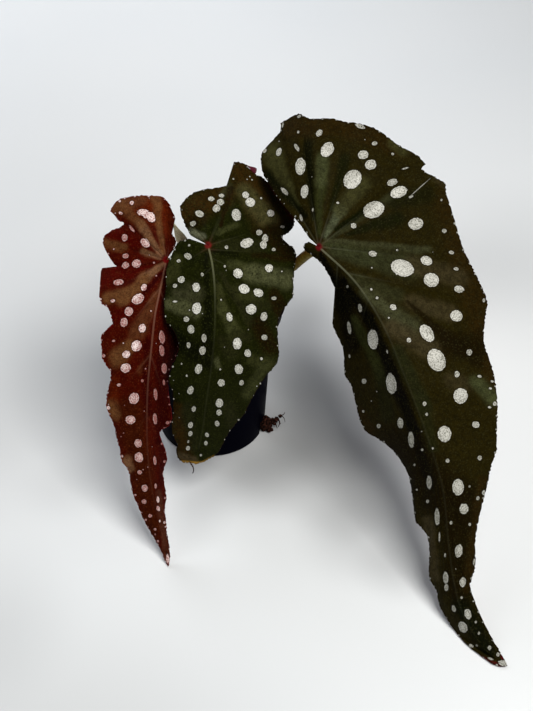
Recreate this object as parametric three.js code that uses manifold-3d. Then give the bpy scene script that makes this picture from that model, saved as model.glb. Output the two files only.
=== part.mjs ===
// A potted polka dot begonia: a dark nursery pot filled with soil, a short cane with three leaf stalks,
// three wing shaped leaves with cut and waved margins, one papery stipule at the growing tip and a clump
// of roots that has come out of a drain slot. Millimetres, Z up, the pot stands on Z = 0 at the origin.
import * as THREE from "three";
import { mergeVertices } from "three/addons/utils/BufferGeometryUtils.js";
import Module from "manifold-3d";

// Driving dimensions of the pot
const POT_HEIGHT = 90;
const BASE_RADIUS = 30;
const WALL_TOP_RADIUS = 35;
const COLLAR_HEIGHT = 9.4;
const COLLAR_LOW_RADIUS = 39.6;
const RIM_RADIUS = 41.6;
const WALL_THICKNESS = 1.3;
const FLOOR_THICKNESS = 1.8;
const EDGE_ROUND = 1.6;
const SHOULDER_HEIGHT = 2.4;
const COLLAR_WALL = 1.5;
const LIP_WIDTH = 1.8;
const LIP_ROUND = 0.6;
const SLOT_COUNT = 4;
const SLOT_WIDTH = 11;
const SLOT_HEIGHT = 9.5;
const SLOT_DEPTH = 12;
const SLOT_FIRST_ANGLE = -14;
const POT_SIDES = 60;

// Driving dimensions of the soil
const SOIL_TOP = 83;
const SOIL_GAP = 0.3;
const SOIL_RIPPLE = 1.4;
const SOIL_LONG_WAVE = 3.4;
const SOIL_SHORT_WAVE = 1.7;
const SOIL_CROWN = 1.2;
const SOIL_RINGS = 7;
const SOIL_SIDES = 40;
const CANE_HOLE_RADIUS = 5.4;
const CANE_HOLE_BOTTOM = 66;

// Driving dimensions of the plant
const BLADE_THICKNESS = 0.9;
const JOINT_GAP = 0.35;
const BLADE_ROWS = 5;
const LEVEL_SPACING = 0.45;
const RIDGE_WIDTH = 2;
const RIDGE_WIDENING = 0.25;
const FLOOR_GAP = 0.35;
const STALK_SIDES = 12;
const PETIOLE_RADIUS = 2.4;
const CANE_RADIUS = 4.4;

// The point from which the leaf shapes were drawn; relief is raised along the line of sight to it,
// so that raising or sinking a part of a blade doesn't move its drawn outline
const EYE = new THREE.Vector3(31.3, -455.2, 447.3);

// A leaf is drawn on a plane through its joint: x to the right, y down the blade, turned about Z by
// `turn` and tipped back by `tip` degrees. `mid` lists the midrib as x, y and height over the plane,
// `fold` is how steeply the two halves fall away from it, `back` how the lobes behind the joint fall.
// `edge` runs round the margin from the sinus. A row is x, y, then 1 for a corner or 0 for a smooth
// point, and where a vein ends also the place on the midrib where it starts and the bulge after it.
const RIGHT_LEAF = {
  joint: [55.5, -38, 149.5],
  turn: -10,
  tip: 43,
  fold: [1.1, 0.42],
  back: 0.0022,
  mid: [
    [0, 0, 0], [16, 12, 0.5], [32, 30.5, 1], [45, 53, -1.5], [59, 80, -8], [69, 103, -14],
    [76, 133, -20.5], [80, 148, -22.5], [85, 161, -23.7], [91.5, 171, -23.6], [100, 179, -23],
    [108.5, 183, -22],
  ],
  edge: [
    [-5.4, -4.3, 0], [-12.9, -13.2, 0], [-20.3, -21, 0], [-26.4, -26.4, 0], [-32.3, -34.2, 0],
    [-36.7, -39.6, 0], [-39.6, -48.2, 0], [-39.2, -52.2, 0, 0, 3], [-35.8, -55.8, 0], [-32, -59.6, 0],
    [-30.2, -62, 0], [-31, -66.3, 1], [-23, -69.2, 0], [-20.4, -69.2, 0, 0, 3.5], [-14.3, -65.4, 0],
    [-5, -63.6, 0], [2.6, -61.7, 0], [11.3, -62.1, 0, 0, 3], [20, -60.6, 0], [30.4, -55, 0],
    [40, -51.5, 0], [44.3, -47.8, 1, 0, 1.6], [42.8, -45.1, 0], [49.7, -42.3, 0], [55, -40, 1],
    [55.4, -36.2, 0], [59.8, -26, 0], [66.6, -10.2, 0], [71.2, -3, 0, 0, 2.2], [75.2, 3.4, 0],
    [80.7, 14.5, 0, 11, 3.5], [80.5, 22, 0], [80.9, 34, 0], [84, 41.4, 0], [87.5, 49.5, 0],
    [90.6, 63, 0, 34, 3], [91.5, 72.7, 0], [92.8, 84.6, 1, 58, 2.6], [91.1, 92, 0], [90.3, 101, 0],
    [88.4, 116.5, 0], [87.9, 128, 0], [89.3, 139.5, 0, 100, 2], [88.5, 145.5, 0], [87.7, 149, 1],
    [89.7, 154.5, 0], [94.7, 163.4, 0, 132, 1.5], [100.3, 172, 0], [106.3, 179.8, 0],
    [109, 183.3, 1, 175, 0.8], [105.6, 185, 0], [100, 184.2, 0], [93, 180.7, 0], [85.7, 175, 0],
    [80.4, 169.6, 0, 146, 1], [75, 162, 0], [72.9, 155.5, 0], [69.4, 151, 0, 120, 1.5], [68.2, 146, 0],
    [67.5, 137.5, 0], [65.6, 129.9, 0], [62.9, 126.6, 0], [59.5, 124, 0, 90, 2], [57.7, 117.8, 0],
    [55.6, 109, 0], [52.6, 100.5, 0], [44.5, 91, 0], [35.7, 86, 0], [30.5, 84, 0],
    [26.8, 79, 0, 44, 2.5], [23, 68.6, 0], [20.2, 61.2, 0], [17, 57.5, 0, 22, 2.2], [15, 45, 0],
    [10.6, 37.4, 0], [8.8, 34, 0, 7, 1.5], [8.9, 26.2, 0], [9.6, 20.5, 0], [8, 16, 0], [2.3, 7.6, 0],
    [-2.5, 4, 0], [-7.5, 0.8, 0], [-7.9, -1.4, 0], [-5.6, -2.5, 0],
  ],
  lift: (x, y, t) => 0.47 * Math.max(-t, 0) * (1 - blend(-10, 18, y)),
};
const MIDDLE_LEAF = {
  joint: [4, -34, 147.5],
  turn: 4,
  tip: 41,
  fold: [0.6, 0.45],
  back: 0.004,
  mid: [
    [0, 0, 0], [1.4, 8, 0.3], [1.9, 30, -3.5], [0.8, 44, -9], [-1.4, 59, -17], [-4.2, 73.5, -28],
    [-7, 89, -42], [-11, 106, -57],
  ],
  edge: [
    [-7.9, -5.3, 0], [-10.2, -10, 0], [-12.5, -19, 0, 0, 2], [-10.5, -22.3, 0], [-6.7, -25.2, 0],
    [-2.4, -26.4, 0], [4.4, -27.3, 0], [12.7, -29.4, 1, 0, 0.5], [13.7, -35, 0], [14.5, -40.6, 1],
    [16.5, -40.8, 0], [20.1, -39.4, 0, 0, 2.2], [23.5, -35.6, 0], [28.1, -33.2, 0], [31, -30.3, 0],
    [36, -24.5, 0], [40.3, -18, 0], [42.7, -12.5, 0, 0, 2], [42.2, -10, 0], [40.2, -7, 0],
    [36.2, -4, 0], [38, -1.5, 0], [41.5, 1.3, 0], [42.6, 4.6, 0, 2, 2.2], [41.5, 11, 0],
    [40.6, 18, 0], [40.2, 24.5, 0, 6, 2.2], [37.5, 28.2, 0], [35, 31.3, 0], [32.4, 37, 0],
    [32.2, 45, 0], [32.6, 53.5, 0, 15, 2.2], [30.8, 58.2, 0], [26.6, 62.4, 0], [21.5, 69.7, 0],
    [17, 77.6, 0], [15, 82, 0, 40, 1.6], [10.5, 86.9, 0], [6, 92.5, 0], [2.6, 99, 0, 68, 0.8],
    [0, 103, 0], [-4.5, 105.8, 0], [-10.5, 107.7, 0, 99, 0.6], [-14.3, 107, 0], [-18, 107, 0],
    [-20.8, 104, 0], [-21.2, 100, 0], [-20.4, 97.8, 0], [-22.5, 91, 0, 60, 1.2], [-22.6, 86, 0],
    [-21.3, 78, 0], [-20.9, 69, 0], [-22.4, 64.5, 0, 34, 1.6], [-22, 60.5, 0], [-19.4, 54.3, 0],
    [-17, 49.5, 0], [-16.7, 44, 0], [-19.3, 37.6, 0], [-21.8, 34.5, 0], [-22.5, 30, 0, 10, 2],
    [-22.4, 24, 0], [-21.1, 18, 0], [-20.8, 11.8, 0, 1, 1.5], [-19.5, 6.5, 0], [-16.6, 1, 0],
    [-14.8, -2.2, 0], [-12, -3.5, 0], [-8.8, -3.9, 0],
  ],
  lift: (x, y, t) => {
    const sides = 0.25 * Math.max(-t, 0) - 0.35 * Math.max(t, 0) * (1 - blend(-12, 12, y));
    const pleat = 2.2 * blend(-8, -24, y) * (blend(9, 14.5, x) - 0.5) * (1 - blend(24, 34, x));
    return sides + pleat + 2 * blend(30, 60, y);
  },
};
const LEFT_LEAF = {
  joint: [-16, -34, 139],
  turn: 8,
  tip: 42,
  fold: [0.45, 1.5],
  back: 0.004,
  mid: [
    [0, 0, 0], [-3, 12, 3], [-6.5, 26, 4], [-9.5, 40, 2], [-12.5, 56, -2], [-15, 75, -9],
    [-16.5, 92, -16], [-16.5, 110, -24.5], [-15, 126, -32], [-13, 141, -38], [-12.5, 150, -40],
  ],
  edge: [
    [4, -5.3, 0], [5.4, -8.5, 0], [5.6, -10.3, 0], [3.9, -13, 0], [4.3, -16.5, 0],
    [6.2, -20.9, 0, 0, 1], [4.9, -25, 0], [3.8, -28.2, 0], [1.2, -30.6, 0], [-3, -31.6, 0, 0, 2.2],
    [-8.9, -32.7, 0], [-13, -33, 0], [-19.9, -32.3, 0], [-23.3, -29.3, 0], [-24.5, -27.4, 1, 0, 2.2],
    [-20.8, -24.3, 0], [-18.4, -21.4, 0], [-19.2, -19.2, 0], [-24.3, -17.7, 0], [-28.2, -15.5, 0],
    [-29.4, -12.3, 0, 0, 2.2], [-28, -7.5, 0], [-24.9, -1.3, 0], [-23.4, 0.8, 0], [-25, 1.6, 0],
    [-30.3, -0.4, 0], [-32.3, 2.5, 0], [-32.6, 6.5, 0], [-33.3, 13.5, 0, 1, 2], [-32.3, 17.3, 0],
    [-29.4, 20.2, 0], [-28.5, 24, 0], [-28.1, 28, 0], [-31, 30.2, 0], [-33.9, 32.6, 0],
    [-34.4, 39, 0], [-34.5, 43.5, 0, 13, 2], [-32.6, 47.5, 0], [-31.1, 50.5, 0], [-31.7, 54, 0],
    [-34, 61, 0], [-34.9, 67, 0, 44, 1.8], [-33.5, 72, 0], [-32.2, 76, 0], [-31.6, 82.5, 0],
    [-30.6, 88, 0], [-30.4, 93.5, 0, 72, 1.4], [-27.5, 99.5, 0], [-27.2, 104.5, 0],
    [-26.4, 112, 0, 96, 1], [-24.6, 118, 0], [-22.3, 126, 0], [-18, 136.2, 0], [-15, 143.5, 0],
    [-13.5, 149, 0], [-12.4, 150.8, 1, 143, 0.5], [-11.3, 147.5, 0], [-11, 140, 0], [-11.6, 133, 0],
    [-11.4, 128, 0, 114, 0.6], [-11.6, 121.5, 0], [-10.2, 115.5, 0, 96, 0.8], [-10.6, 108, 0],
    [-10.6, 102, 0], [-8.1, 96, 0, 72, 1], [-9, 90, 0], [-10.8, 83, 0], [-9.8, 81, 0],
    [-5.5, 79, 0], [-3.8, 75, 0, 44, 1.5], [-4.3, 67, 0], [-4.3, 58, 0], [-2.6, 51, 0],
    [0.9, 45.3, 0], [2.5, 40, 0, 14, 1.5], [1.9, 35.5, 0], [2.5, 28, 0], [5, 20, 0], [5.5, 12, 0],
    [5, 4, 0], [4.6, -1.5, 0],
  ],
  lift: (x, y) => -12 * (1 - Math.pow(THREE.MathUtils.clamp(y / 150, 0, 1), 1.4)),
};

// The dried thread that hangs from the tip of the middle leaf, in the drawing of that leaf
const THREAD = [[-14.8, 106.2], [-13.4, 108.6], [-12.6, 110.8], [-12.7, 113.2], [-13.6, 115]];
const THREAD_RADIUS = 0.38;

// Stalk paths: x, y, z and radius
const CANE = [
  [-3, 2, 68, CANE_RADIUS], [-3, 1.8, 84, CANE_RADIUS], [-3.6, 1.6, 90, 5], [-4.6, 1.4, 96, 3.9],
  [-6, 1.2, 103, 3.6], [-7.4, 1, 109, 4.3], [-8.6, 1, 114, 3.3], [-9.8, 1, 119, 3],
  [-10.8, 0.8, 123.5, 1.8],
];
const RIGHT_PETIOLE = [
  [-2, 1.5, 91, PETIOLE_RADIUS], [8, -1.5, 96.5, 2.7], [22, -8, 106, PETIOLE_RADIUS],
  [34, -9.6, 110.7, PETIOLE_RADIUS], [43, -14.4, 119.6, 2.5], [47.7, -19.8, 128.4, 2.4],
  [51.6, -28.4, 138.8, 2.3], [53.9, -33.4, 143.6, 2],
];
const MIDDLE_PETIOLE = [
  [-7, 1, 108, 2.1], [-6, -5, 115, 2.3], [-2.5, -14.5, 125, 2.1], [1, -24, 136, 2],
  [3.2, -30.4, 143.2, 2],
];
const LEFT_PETIOLE = [
  [-8.6, 1, 113, 1.9], [-11, -4.5, 117, 2], [-13.8, -12, 122.2, 1.8], [-15.6, -19.6, 127.4, 1.7],
];

// The last rings of every petiole: how deep each lies under the joint of its blade, and its radius
const PETIOLE_TAIL = [[4.2, 1.7], [3, 1.5], [BLADE_THICKNESS + JOINT_GAP + 0.15, 0.5]];

// The stipule: a curved papery sheath from the growing tip up to its point
const STIPULE_BASE = new THREE.Vector3(-11.4, 1.1, 123.9);
const STIPULE_POINT = new THREE.Vector3(-15.3, 2.6, 134.6);
const STIPULE_WIDTH = 6.4;
const STIPULE_THICKNESS = 0.8;
const STIPULE_CURL = 1.5;

// Roots: a clump in the mouth of the first drain slot and the root ends that stick out of it
const CLUMP_CENTRE_RADIUS = 31.6;
const CLUMP_HEIGHT = 4.2;
const CLUMP_SIZE = [3.6, 4.4, 4.2];
const ROOT_CLEARANCE = 0.3;
const ROOTS = [
  [[31.5, -8, 5, 1.6], [34.5, -8.8, 7, 1.4], [37.2, -9, 9.5, 1], [39.4, -9, 12.2, 0.7]],
  [[31, -9, 3, 1.5], [33, -10.6, 2.4, 1.2], [34, -11.8, 1.6, 0.8]],
  [[31, -6.5, 5, 1.4], [34.6, -6.8, 6.2, 1.2], [37.4, -7.2, 8.2, 0.8]],
];

const wasm = await Module();
wasm.setup();

function blend(from, to, value) {
  const t = THREE.MathUtils.clamp((value - from) / (to - from), 0, 1);
  return t * t * (3 - 2 * t);
}

function along(value, keys, values) {
  if (value <= keys[0]) return values[0];
  const last = keys.length - 1;
  if (value >= keys[last]) return values[last];
  const i = keys.findIndex((k) => k > value) - 1;
  const part = (value - keys[i]) / (keys[i + 1] - keys[i]);
  return values[i] + part * (values[i + 1] - values[i]);
}

// One closed body from a list of triangles
function bodyOf(triangles) {
  const raw = new THREE.BufferGeometry();
  raw.setAttribute("position", new THREE.Float32BufferAttribute(triangles.flat(2), 3));
  const merged = mergeVertices(raw, 1e-3);
  const index = merged.index.array;
  const kept = [];
  for (let i = 0; i < index.length; i += 3) {
    const [a, b, c] = [index[i], index[i + 1], index[i + 2]];
    if (a !== b && b !== c && c !== a) kept.push(a, b, c);
  }
  const vertProperties = new Float32Array(merged.attributes.position.array);
  const triVerts = new Uint32Array(kept);
  return new wasm.Manifold(new wasm.Mesh({ numProp: 3, vertProperties, triVerts }));
}

function bodyOfGeometry(geometry) {
  const flat = geometry.index ? geometry.toNonIndexed() : geometry;
  const p = flat.getAttribute("position");
  const triangles = [];
  for (let i = 0; i < p.count; i += 3) {
    triangles.push([0, 1, 2].map((k) => [p.getX(i + k), p.getY(i + k), p.getZ(i + k)]));
  }
  return bodyOf(triangles);
}

function geometryOf(body) {
  const mesh = body.getMesh();
  const position = new Float32Array(mesh.numVert * 3);
  for (let i = 0; i < mesh.numVert; i++) {
    const start = i * mesh.numProp;
    position.set(mesh.vertProperties.subarray(start, start + 3), i * 3);
  }
  const geometry = new THREE.BufferGeometry();
  geometry.setAttribute("position", new THREE.BufferAttribute(position, 3));
  geometry.setIndex(new THREE.BufferAttribute(new Uint32Array(mesh.triVerts), 1));
  geometry.computeVertexNormals();
  return geometry;
}

// A body turned about Z from a profile of radius and height
function turned(profile, sides) {
  const points = profile.map(([r, z]) => new THREE.Vector2(r, z));
  const geometry = new THREE.LatheGeometry(points, sides);
  geometry.rotateX(Math.PI / 2);
  return bodyOfGeometry(geometry);
}

// A stalk: rings of changing radius along a smooth path, closed at both ends
function stalk(rows, rings, sides) {
  const path = new THREE.CatmullRomCurve3(rows.map(([x, y, z]) => new THREE.Vector3(x, y, z)));
  const frames = path.computeFrenetFrames(rings, false);
  const stations = rows.map((row, i) => i / (rows.length - 1));
  const circles = [];
  const centres = [];
  for (let i = 0; i <= rings; i++) {
    const t = path.getUtoTmapping(i / rings);
    const centre = path.getPoint(t);
    const radius = along(t, stations, rows.map((row) => row[3]));
    const circle = [];
    for (let k = 0; k < sides; k++) {
      const angle = (2 * Math.PI * k) / sides;
      const p = centre.clone();
      p.addScaledVector(frames.normals[i], radius * Math.cos(angle));
      p.addScaledVector(frames.binormals[i], radius * Math.sin(angle));
      circle.push(p.toArray());
    }
    circles.push(circle);
    centres.push(centre.toArray());
  }
  const triangles = [];
  for (let k = 0; k < sides; k++) {
    const next = (k + 1) % sides;
    triangles.push([centres[0], circles[0][next], circles[0][k]]);
    triangles.push([centres[rings], circles[rings][k], circles[rings][next]]);
    for (let i = 0; i < rings; i++) {
      triangles.push([circles[i][k], circles[i][next], circles[i + 1][next]]);
      triangles.push([circles[i][k], circles[i + 1][next], circles[i + 1][k]]);
    }
  }
  return bodyOf(triangles);
}

// The three axes of a leaf drawing: to the right, down the blade, and out of the page
function axesOf(leaf) {
  const a = THREE.MathUtils.degToRad(leaf.turn);
  const e = THREE.MathUtils.degToRad(leaf.tip);
  const right = new THREE.Vector3(Math.cos(a), Math.sin(a), 0);
  const down = new THREE.Vector3(Math.sin(a) * Math.sin(e), -Math.cos(a) * Math.sin(e), -Math.cos(e));
  const out = new THREE.Vector3(Math.sin(a) * Math.cos(e), -Math.cos(a) * Math.cos(e), Math.sin(e));
  return { right, down, out };
}

// The point of a leaf at x, y of its drawing, raised by `relief` along the line of sight
function placed(leaf, axes, x, y, relief) {
  const midY = leaf.mid.map((m) => m[1]);
  const ahead = THREE.MathUtils.clamp(y, 0, midY[midY.length - 1]);
  const t = x - along(ahead, midY, leaf.mid.map((m) => m[0]));
  const height = along(ahead, midY, leaf.mid.map((m) => m[2]));
  const slope = t < 0 ? leaf.fold[0] : leaf.fold[1];
  const drawn = height - leaf.back * Math.min(y, 0) ** 2 - slope * Math.abs(t);
  const width = RIDGE_WIDTH + RIDGE_WIDENING * Math.max(-y, 0);
  const rounded = slope * (Math.abs(t) - Math.sqrt(t * t + width * width) + width);
  const p = new THREE.Vector3(...leaf.joint);
  p.addScaledVector(axes.right, x);
  p.addScaledVector(axes.down, y);
  p.addScaledVector(axes.out, drawn);
  const sight = EYE.clone().sub(p);
  sight.divideScalar(sight.dot(axes.out));
  p.addScaledVector(sight, leaf.lift(x, y, t) + rounded + relief);
  const lowest = FLOOR_GAP + BLADE_THICKNESS;
  if (p.z < lowest) p.addScaledVector(sight, (lowest - p.z) / sight.z);
  return p;
}

// The margin at parameter t, which counts rows of `edge`: a smooth curve with corners where marked
function marginAt(leaf, t) {
  const rows = leaf.edge;
  const i = Math.min(Math.floor(t), rows.length - 2);
  const f = t - i;
  const point = (k) => new THREE.Vector2(rows[k][0], rows[k][1]);
  const chord = point(i + 1).sub(point(i));
  const tangent = (k) => {
    if (k === 0 || k === rows.length - 1 || rows[k][2] === 1) return chord.clone();
    return point(k + 1).sub(point(k - 1)).normalize().multiplyScalar(chord.length());
  };
  const p = point(i).multiplyScalar(2 * f ** 3 - 3 * f ** 2 + 1);
  p.addScaledVector(tangent(i), f ** 3 - 2 * f ** 2 + f);
  p.addScaledVector(point(i + 1), 3 * f ** 2 - 2 * f ** 3);
  p.addScaledVector(tangent(i + 1), f ** 3 - f ** 2);
  return p;
}

// Columns of a blade: each runs from the joint or the midrib out to the margin. The two halves start
// from the same places on the midrib, so that they join there.
function columnsOf(leaf) {
  const rows = leaf.edge;
  const last = rows.length - 1;
  const veins = rows.map((row, i) => [i, row[3], row[4]]).filter((v) => v[1] !== undefined);
  const peak = veins.reduce((best, v) => (v[1] > best[1] ? v : best));
  const first = veins.filter((v) => v[1] === 0).pop();
  const before = veins.filter((v) => v[0] >= first[0] && v[0] <= peak[0]);
  const after = veins.filter((v) => v[0] >= peak[0]).concat([[last, 0, 0]]).reverse();
  const startOf = (t) => {
    const side = t <= peak[0] ? before : after.slice().reverse();
    return along(t, side.map((v) => v[0]), side.map((v) => v[1]));
  };
  const levels = [];
  const wanted = rows.map((row, i) => i).filter((i) => i >= first[0]).map(startOf);
  wanted.sort((a, b) => a - b);
  for (const level of wanted) {
    const space = levels.length ? level - levels[levels.length - 1] : 1e9;
    if (space > LEVEL_SPACING && level < peak[1] - LEVEL_SPACING) levels.push(level);
  }
  const lead = rows.map((row, i) => i).filter((i) => i < first[0]);
  const toTip = levels.map((m) => along(m, before.map((v) => v[1]), before.map((v) => v[0])));
  const fromTip = levels.map((m) => along(m, after.map((v) => v[1]), after.map((v) => v[0]))).reverse();
  const parameters = lead.concat(toTip, [peak[0]], fromTip);
  const starts = lead.map(() => 0).concat(levels, [peak[1]], levels.slice().reverse());
  return parameters.map((t, i) => {
    const passed = veins.filter((v) => v[0] <= t).pop() || [0, 0, 0.8];
    const coming = veins.find((v) => v[0] > t) || [last, 0, 0];
    const sector = (t - passed[0]) / Math.max(coming[0] - passed[0], 1e-9);
    return { t, start: starts[i], bulge: passed[2] * Math.sin(Math.PI * Math.min(sector, 1)) };
  });
}

// Relief at part v of the way out between two veins: an arch that turns down towards the margin
function arch(bulge, v) {
  return bulge * v ** 0.8 * (1.15 - 1.6 * v ** 4);
}

// A blade as one body: the same triangles on both faces, a set thickness apart
function blade(leaf) {
  const axes = axesOf(leaf);
  const midY = leaf.mid.map((m) => m[1]);
  const grid = columnsOf(leaf).map(({ t, start, bulge }) => {
    const rim = marginAt(leaf, t);
    const origin = new THREE.Vector2(along(start, midY, leaf.mid.map((m) => m[0])), start);
    return Array.from({ length: BLADE_ROWS + 1 }, (_, k) => {
      const v = k / BLADE_ROWS;
      const q = origin.clone().lerp(rim, v);
      return placed(leaf, axes, q.x, q.y, arch(bulge, v));
    });
  });
  const keyed = new Map();
  const points = [];
  const indexOf = (p) => {
    const key = p.toArray().map((c) => Math.round(c * 500)).join();
    if (!keyed.has(key)) {
      keyed.set(key, points.length);
      points.push(p);
    }
    return keyed.get(key);
  };
  const faces = [];
  for (let i = 0; i + 1 < grid.length; i++) {
    for (let k = 0; k < BLADE_ROWS; k++) {
      const [a, b] = [indexOf(grid[i][k]), indexOf(grid[i][k + 1])];
      const [c, d] = [indexOf(grid[i + 1][k]), indexOf(grid[i + 1][k + 1])];
      faces.push([a, b, d], [a, d, c]);
    }
  }
  let top = faces.filter(([a, b, c]) => a !== b && b !== c && c !== a);
  const normals = points.map(() => new THREE.Vector3());
  const across = ([a, b, c]) => {
    const u = points[b].clone().sub(points[a]);
    return u.cross(points[c].clone().sub(points[a]));
  };
  const facing = top.reduce((sum, face) => sum + across(face).dot(axes.out), 0);
  if (facing < 0) top = top.map(([a, b, c]) => [a, c, b]);
  for (const face of top) {
    const n = across(face);
    face.forEach((k) => normals[k].add(n));
  }
  const under = points.map((p, k) => p.clone().addScaledVector(normals[k].normalize(), -BLADE_THICKNESS));
  const upper = points.map((p) => p.toArray());
  const lower = under.map((p) => p.toArray());
  const edges = new Set();
  for (const [a, b, c] of top) [[a, b], [b, c], [c, a]].forEach(([s, e]) => edges.add(s + "," + e));
  const triangles = [];
  for (const [a, b, c] of top) {
    triangles.push([upper[a], upper[b], upper[c]], [lower[a], lower[c], lower[b]]);
    for (const [s, e] of [[a, b], [b, c], [c, a]]) {
      if (edges.has(e + "," + s)) continue;
      triangles.push([upper[s], lower[s], lower[e]], [upper[s], lower[e], upper[e]]);
    }
  }
  return bodyOf(triangles);
}

// A petiole: its path and a tail that comes up square under the joint and narrows there
function petiole(rows, leaf, rings) {
  const axes = axesOf(leaf);
  const end = placed(leaf, axes, 0, 0, 0);
  const below = (depth, radius) => [...end.clone().addScaledVector(axes.out, -depth).toArray(), radius];
  const tail = PETIOLE_TAIL.map(([depth, radius]) => below(depth, radius));
  return stalk(rows.concat(tail), rings, STALK_SIDES);
}

// Pot: base, tapered wall, collar with a rolled rim, and slots cut through the corner of the base
function potBody() {
  const collarZ = POT_HEIGHT - COLLAR_HEIGHT;
  const inner = WALL_TOP_RADIUS - WALL_THICKNESS;
  const taper = (WALL_TOP_RADIUS - BASE_RADIUS) / collarZ;
  const profile = [
    [0, 0], [BASE_RADIUS - EDGE_ROUND, 0], [BASE_RADIUS - 0.4 * EDGE_ROUND, 0.3 * EDGE_ROUND],
    [BASE_RADIUS, EDGE_ROUND], [WALL_TOP_RADIUS, collarZ - SHOULDER_HEIGHT],
    [WALL_TOP_RADIUS + 1, collarZ - 0.4 * SHOULDER_HEIGHT],
    [COLLAR_LOW_RADIUS - LIP_ROUND, collarZ], [COLLAR_LOW_RADIUS, collarZ + LIP_ROUND],
    [RIM_RADIUS - COLLAR_WALL * LIP_ROUND, POT_HEIGHT - LIP_WIDTH + 0.2],
    [RIM_RADIUS, POT_HEIGHT - 2 * LIP_ROUND], [RIM_RADIUS, POT_HEIGHT - LIP_ROUND],
    [RIM_RADIUS - LIP_ROUND, POT_HEIGHT], [RIM_RADIUS - LIP_WIDTH, POT_HEIGHT],
    [RIM_RADIUS - LIP_WIDTH - 0.5, POT_HEIGHT - LIP_ROUND],
    [COLLAR_LOW_RADIUS - COLLAR_WALL, collarZ + WALL_THICKNESS], [inner, collarZ - LIP_ROUND],
    [BASE_RADIUS + taper * FLOOR_THICKNESS - WALL_THICKNESS, FLOOR_THICKNESS], [0, FLOOR_THICKNESS],
  ];
  let pot = turned(profile, POT_SIDES);
  for (let i = 0; i < SLOT_COUNT; i++) {
    const cutter = new THREE.BoxGeometry(SLOT_DEPTH, SLOT_WIDTH, 2 * SLOT_HEIGHT);
    cutter.translate(BASE_RADIUS - 1, 0, 0);
    cutter.rotateZ(THREE.MathUtils.degToRad(SLOT_FIRST_ANGLE + (360 * i) / SLOT_COUNT));
    pot = pot.subtract(bodyOfGeometry(cutter));
  }
  return pot;
}

// Soil: a plug inside the pot with an uneven top and a plain hole for the cane
function soilBody() {
  const collarZ = POT_HEIGHT - COLLAR_HEIGHT;
  const low = BASE_RADIUS - WALL_THICKNESS - SOIL_GAP - 0.2;
  const high = WALL_TOP_RADIUS - WALL_THICKNESS - SOIL_GAP - 0.1;
  const bottom = FLOOR_THICKNESS + SOIL_GAP;
  const edge = high + SHOULDER_HEIGHT;
  const profile = [[0, bottom], [low, bottom], [high, collarZ - 0.8], [edge, SOIL_TOP - 0.4]];
  for (let i = 1; i <= SOIL_RINGS; i++) profile.push([(edge - 0.4) * (1 - i / SOIL_RINGS), SOIL_TOP]);
  const geometry = new THREE.LatheGeometry(profile.map(([r, z]) => new THREE.Vector2(r, z)), SOIL_SIDES);
  geometry.rotateX(Math.PI / 2);
  const p = geometry.getAttribute("position");
  for (let i = 0; i < p.count; i++) {
    if (p.getZ(i) < SOIL_TOP - 0.1) continue;
    const [x, y] = [p.getX(i), p.getY(i)];
    const long = Math.sin(x / SOIL_LONG_WAVE + 1.3) * Math.cos(y / SOIL_LONG_WAVE - 0.4);
    const wave = long + 0.5 * Math.sin((x - y) / SOIL_SHORT_WAVE);
    const crown = SOIL_CROWN * (1 - Math.hypot(x, y) / BASE_RADIUS);
    p.setZ(i, SOIL_TOP + SOIL_RIPPLE * wave + crown);
  }
  const hole = new THREE.CylinderGeometry(CANE_HOLE_RADIUS, CANE_HOLE_RADIUS, BASE_RADIUS, 2 * STALK_SIDES);
  hole.rotateX(Math.PI / 2);
  hole.translate(CANE[0][0], CANE[0][1], CANE_HOLE_BOTTOM + BASE_RADIUS / 2);
  return bodyOfGeometry(geometry).subtract(bodyOfGeometry(hole));
}

// Stem: the cane with its swollen nodes and the three petioles, grown together
function stemBody() {
  let stem = stalk(CANE, 22, STALK_SIDES + 2);
  stem = stem.add(petiole(RIGHT_PETIOLE, RIGHT_LEAF, 22));
  stem = stem.add(petiole(MIDDLE_PETIOLE, MIDDLE_LEAF, 14));
  return stem.add(petiole(LEFT_PETIOLE, LEFT_LEAF, 12));
}

// Stipule: a sheet that narrows to a point and curls about its length
function stipuleBody() {
  const length = STIPULE_POINT.clone().sub(STIPULE_BASE);
  const side = new THREE.Vector3(1, -0.15, 0.35).normalize();
  const out = side.clone().cross(length).normalize();
  const face = (offset) => Array.from({ length: 7 }, (_, i) => Array.from({ length: 7 }, (_, k) => {
    const u = i / 6;
    const s = k / 3 - 1;
    const half = 0.5 * STIPULE_WIDTH * (1 - 0.86 * u ** 1.5);
    const p = STIPULE_BASE.clone().addScaledVector(length, u);
    p.addScaledVector(side, s * half);
    p.addScaledVector(out, offset - STIPULE_CURL * s * s * (1 - 0.8 * u));
    return p.toArray();
  }));
  const [front, back] = [face(STIPULE_THICKNESS / 2), face(-STIPULE_THICKNESS / 2)];
  const triangles = [];
  const quad = (a, b, c, d) => triangles.push([a, b, c], [a, c, d]);
  for (let i = 0; i < 6; i++) {
    for (let k = 0; k < 6; k++) {
      quad(front[i][k], front[i][k + 1], front[i + 1][k + 1], front[i + 1][k]);
      quad(back[i][k], back[i + 1][k], back[i + 1][k + 1], back[i][k + 1]);
    }
    quad(back[i][0], front[i][0], front[i + 1][0], back[i + 1][0]);
    quad(front[i][6], back[i][6], back[i + 1][6], front[i + 1][6]);
    quad(front[0][i], back[0][i], back[0][i + 1], front[0][i + 1]);
    quad(back[6][i], front[6][i], front[6][i + 1], back[6][i + 1]);
  }
  return bodyOf(triangles);
}

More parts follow.
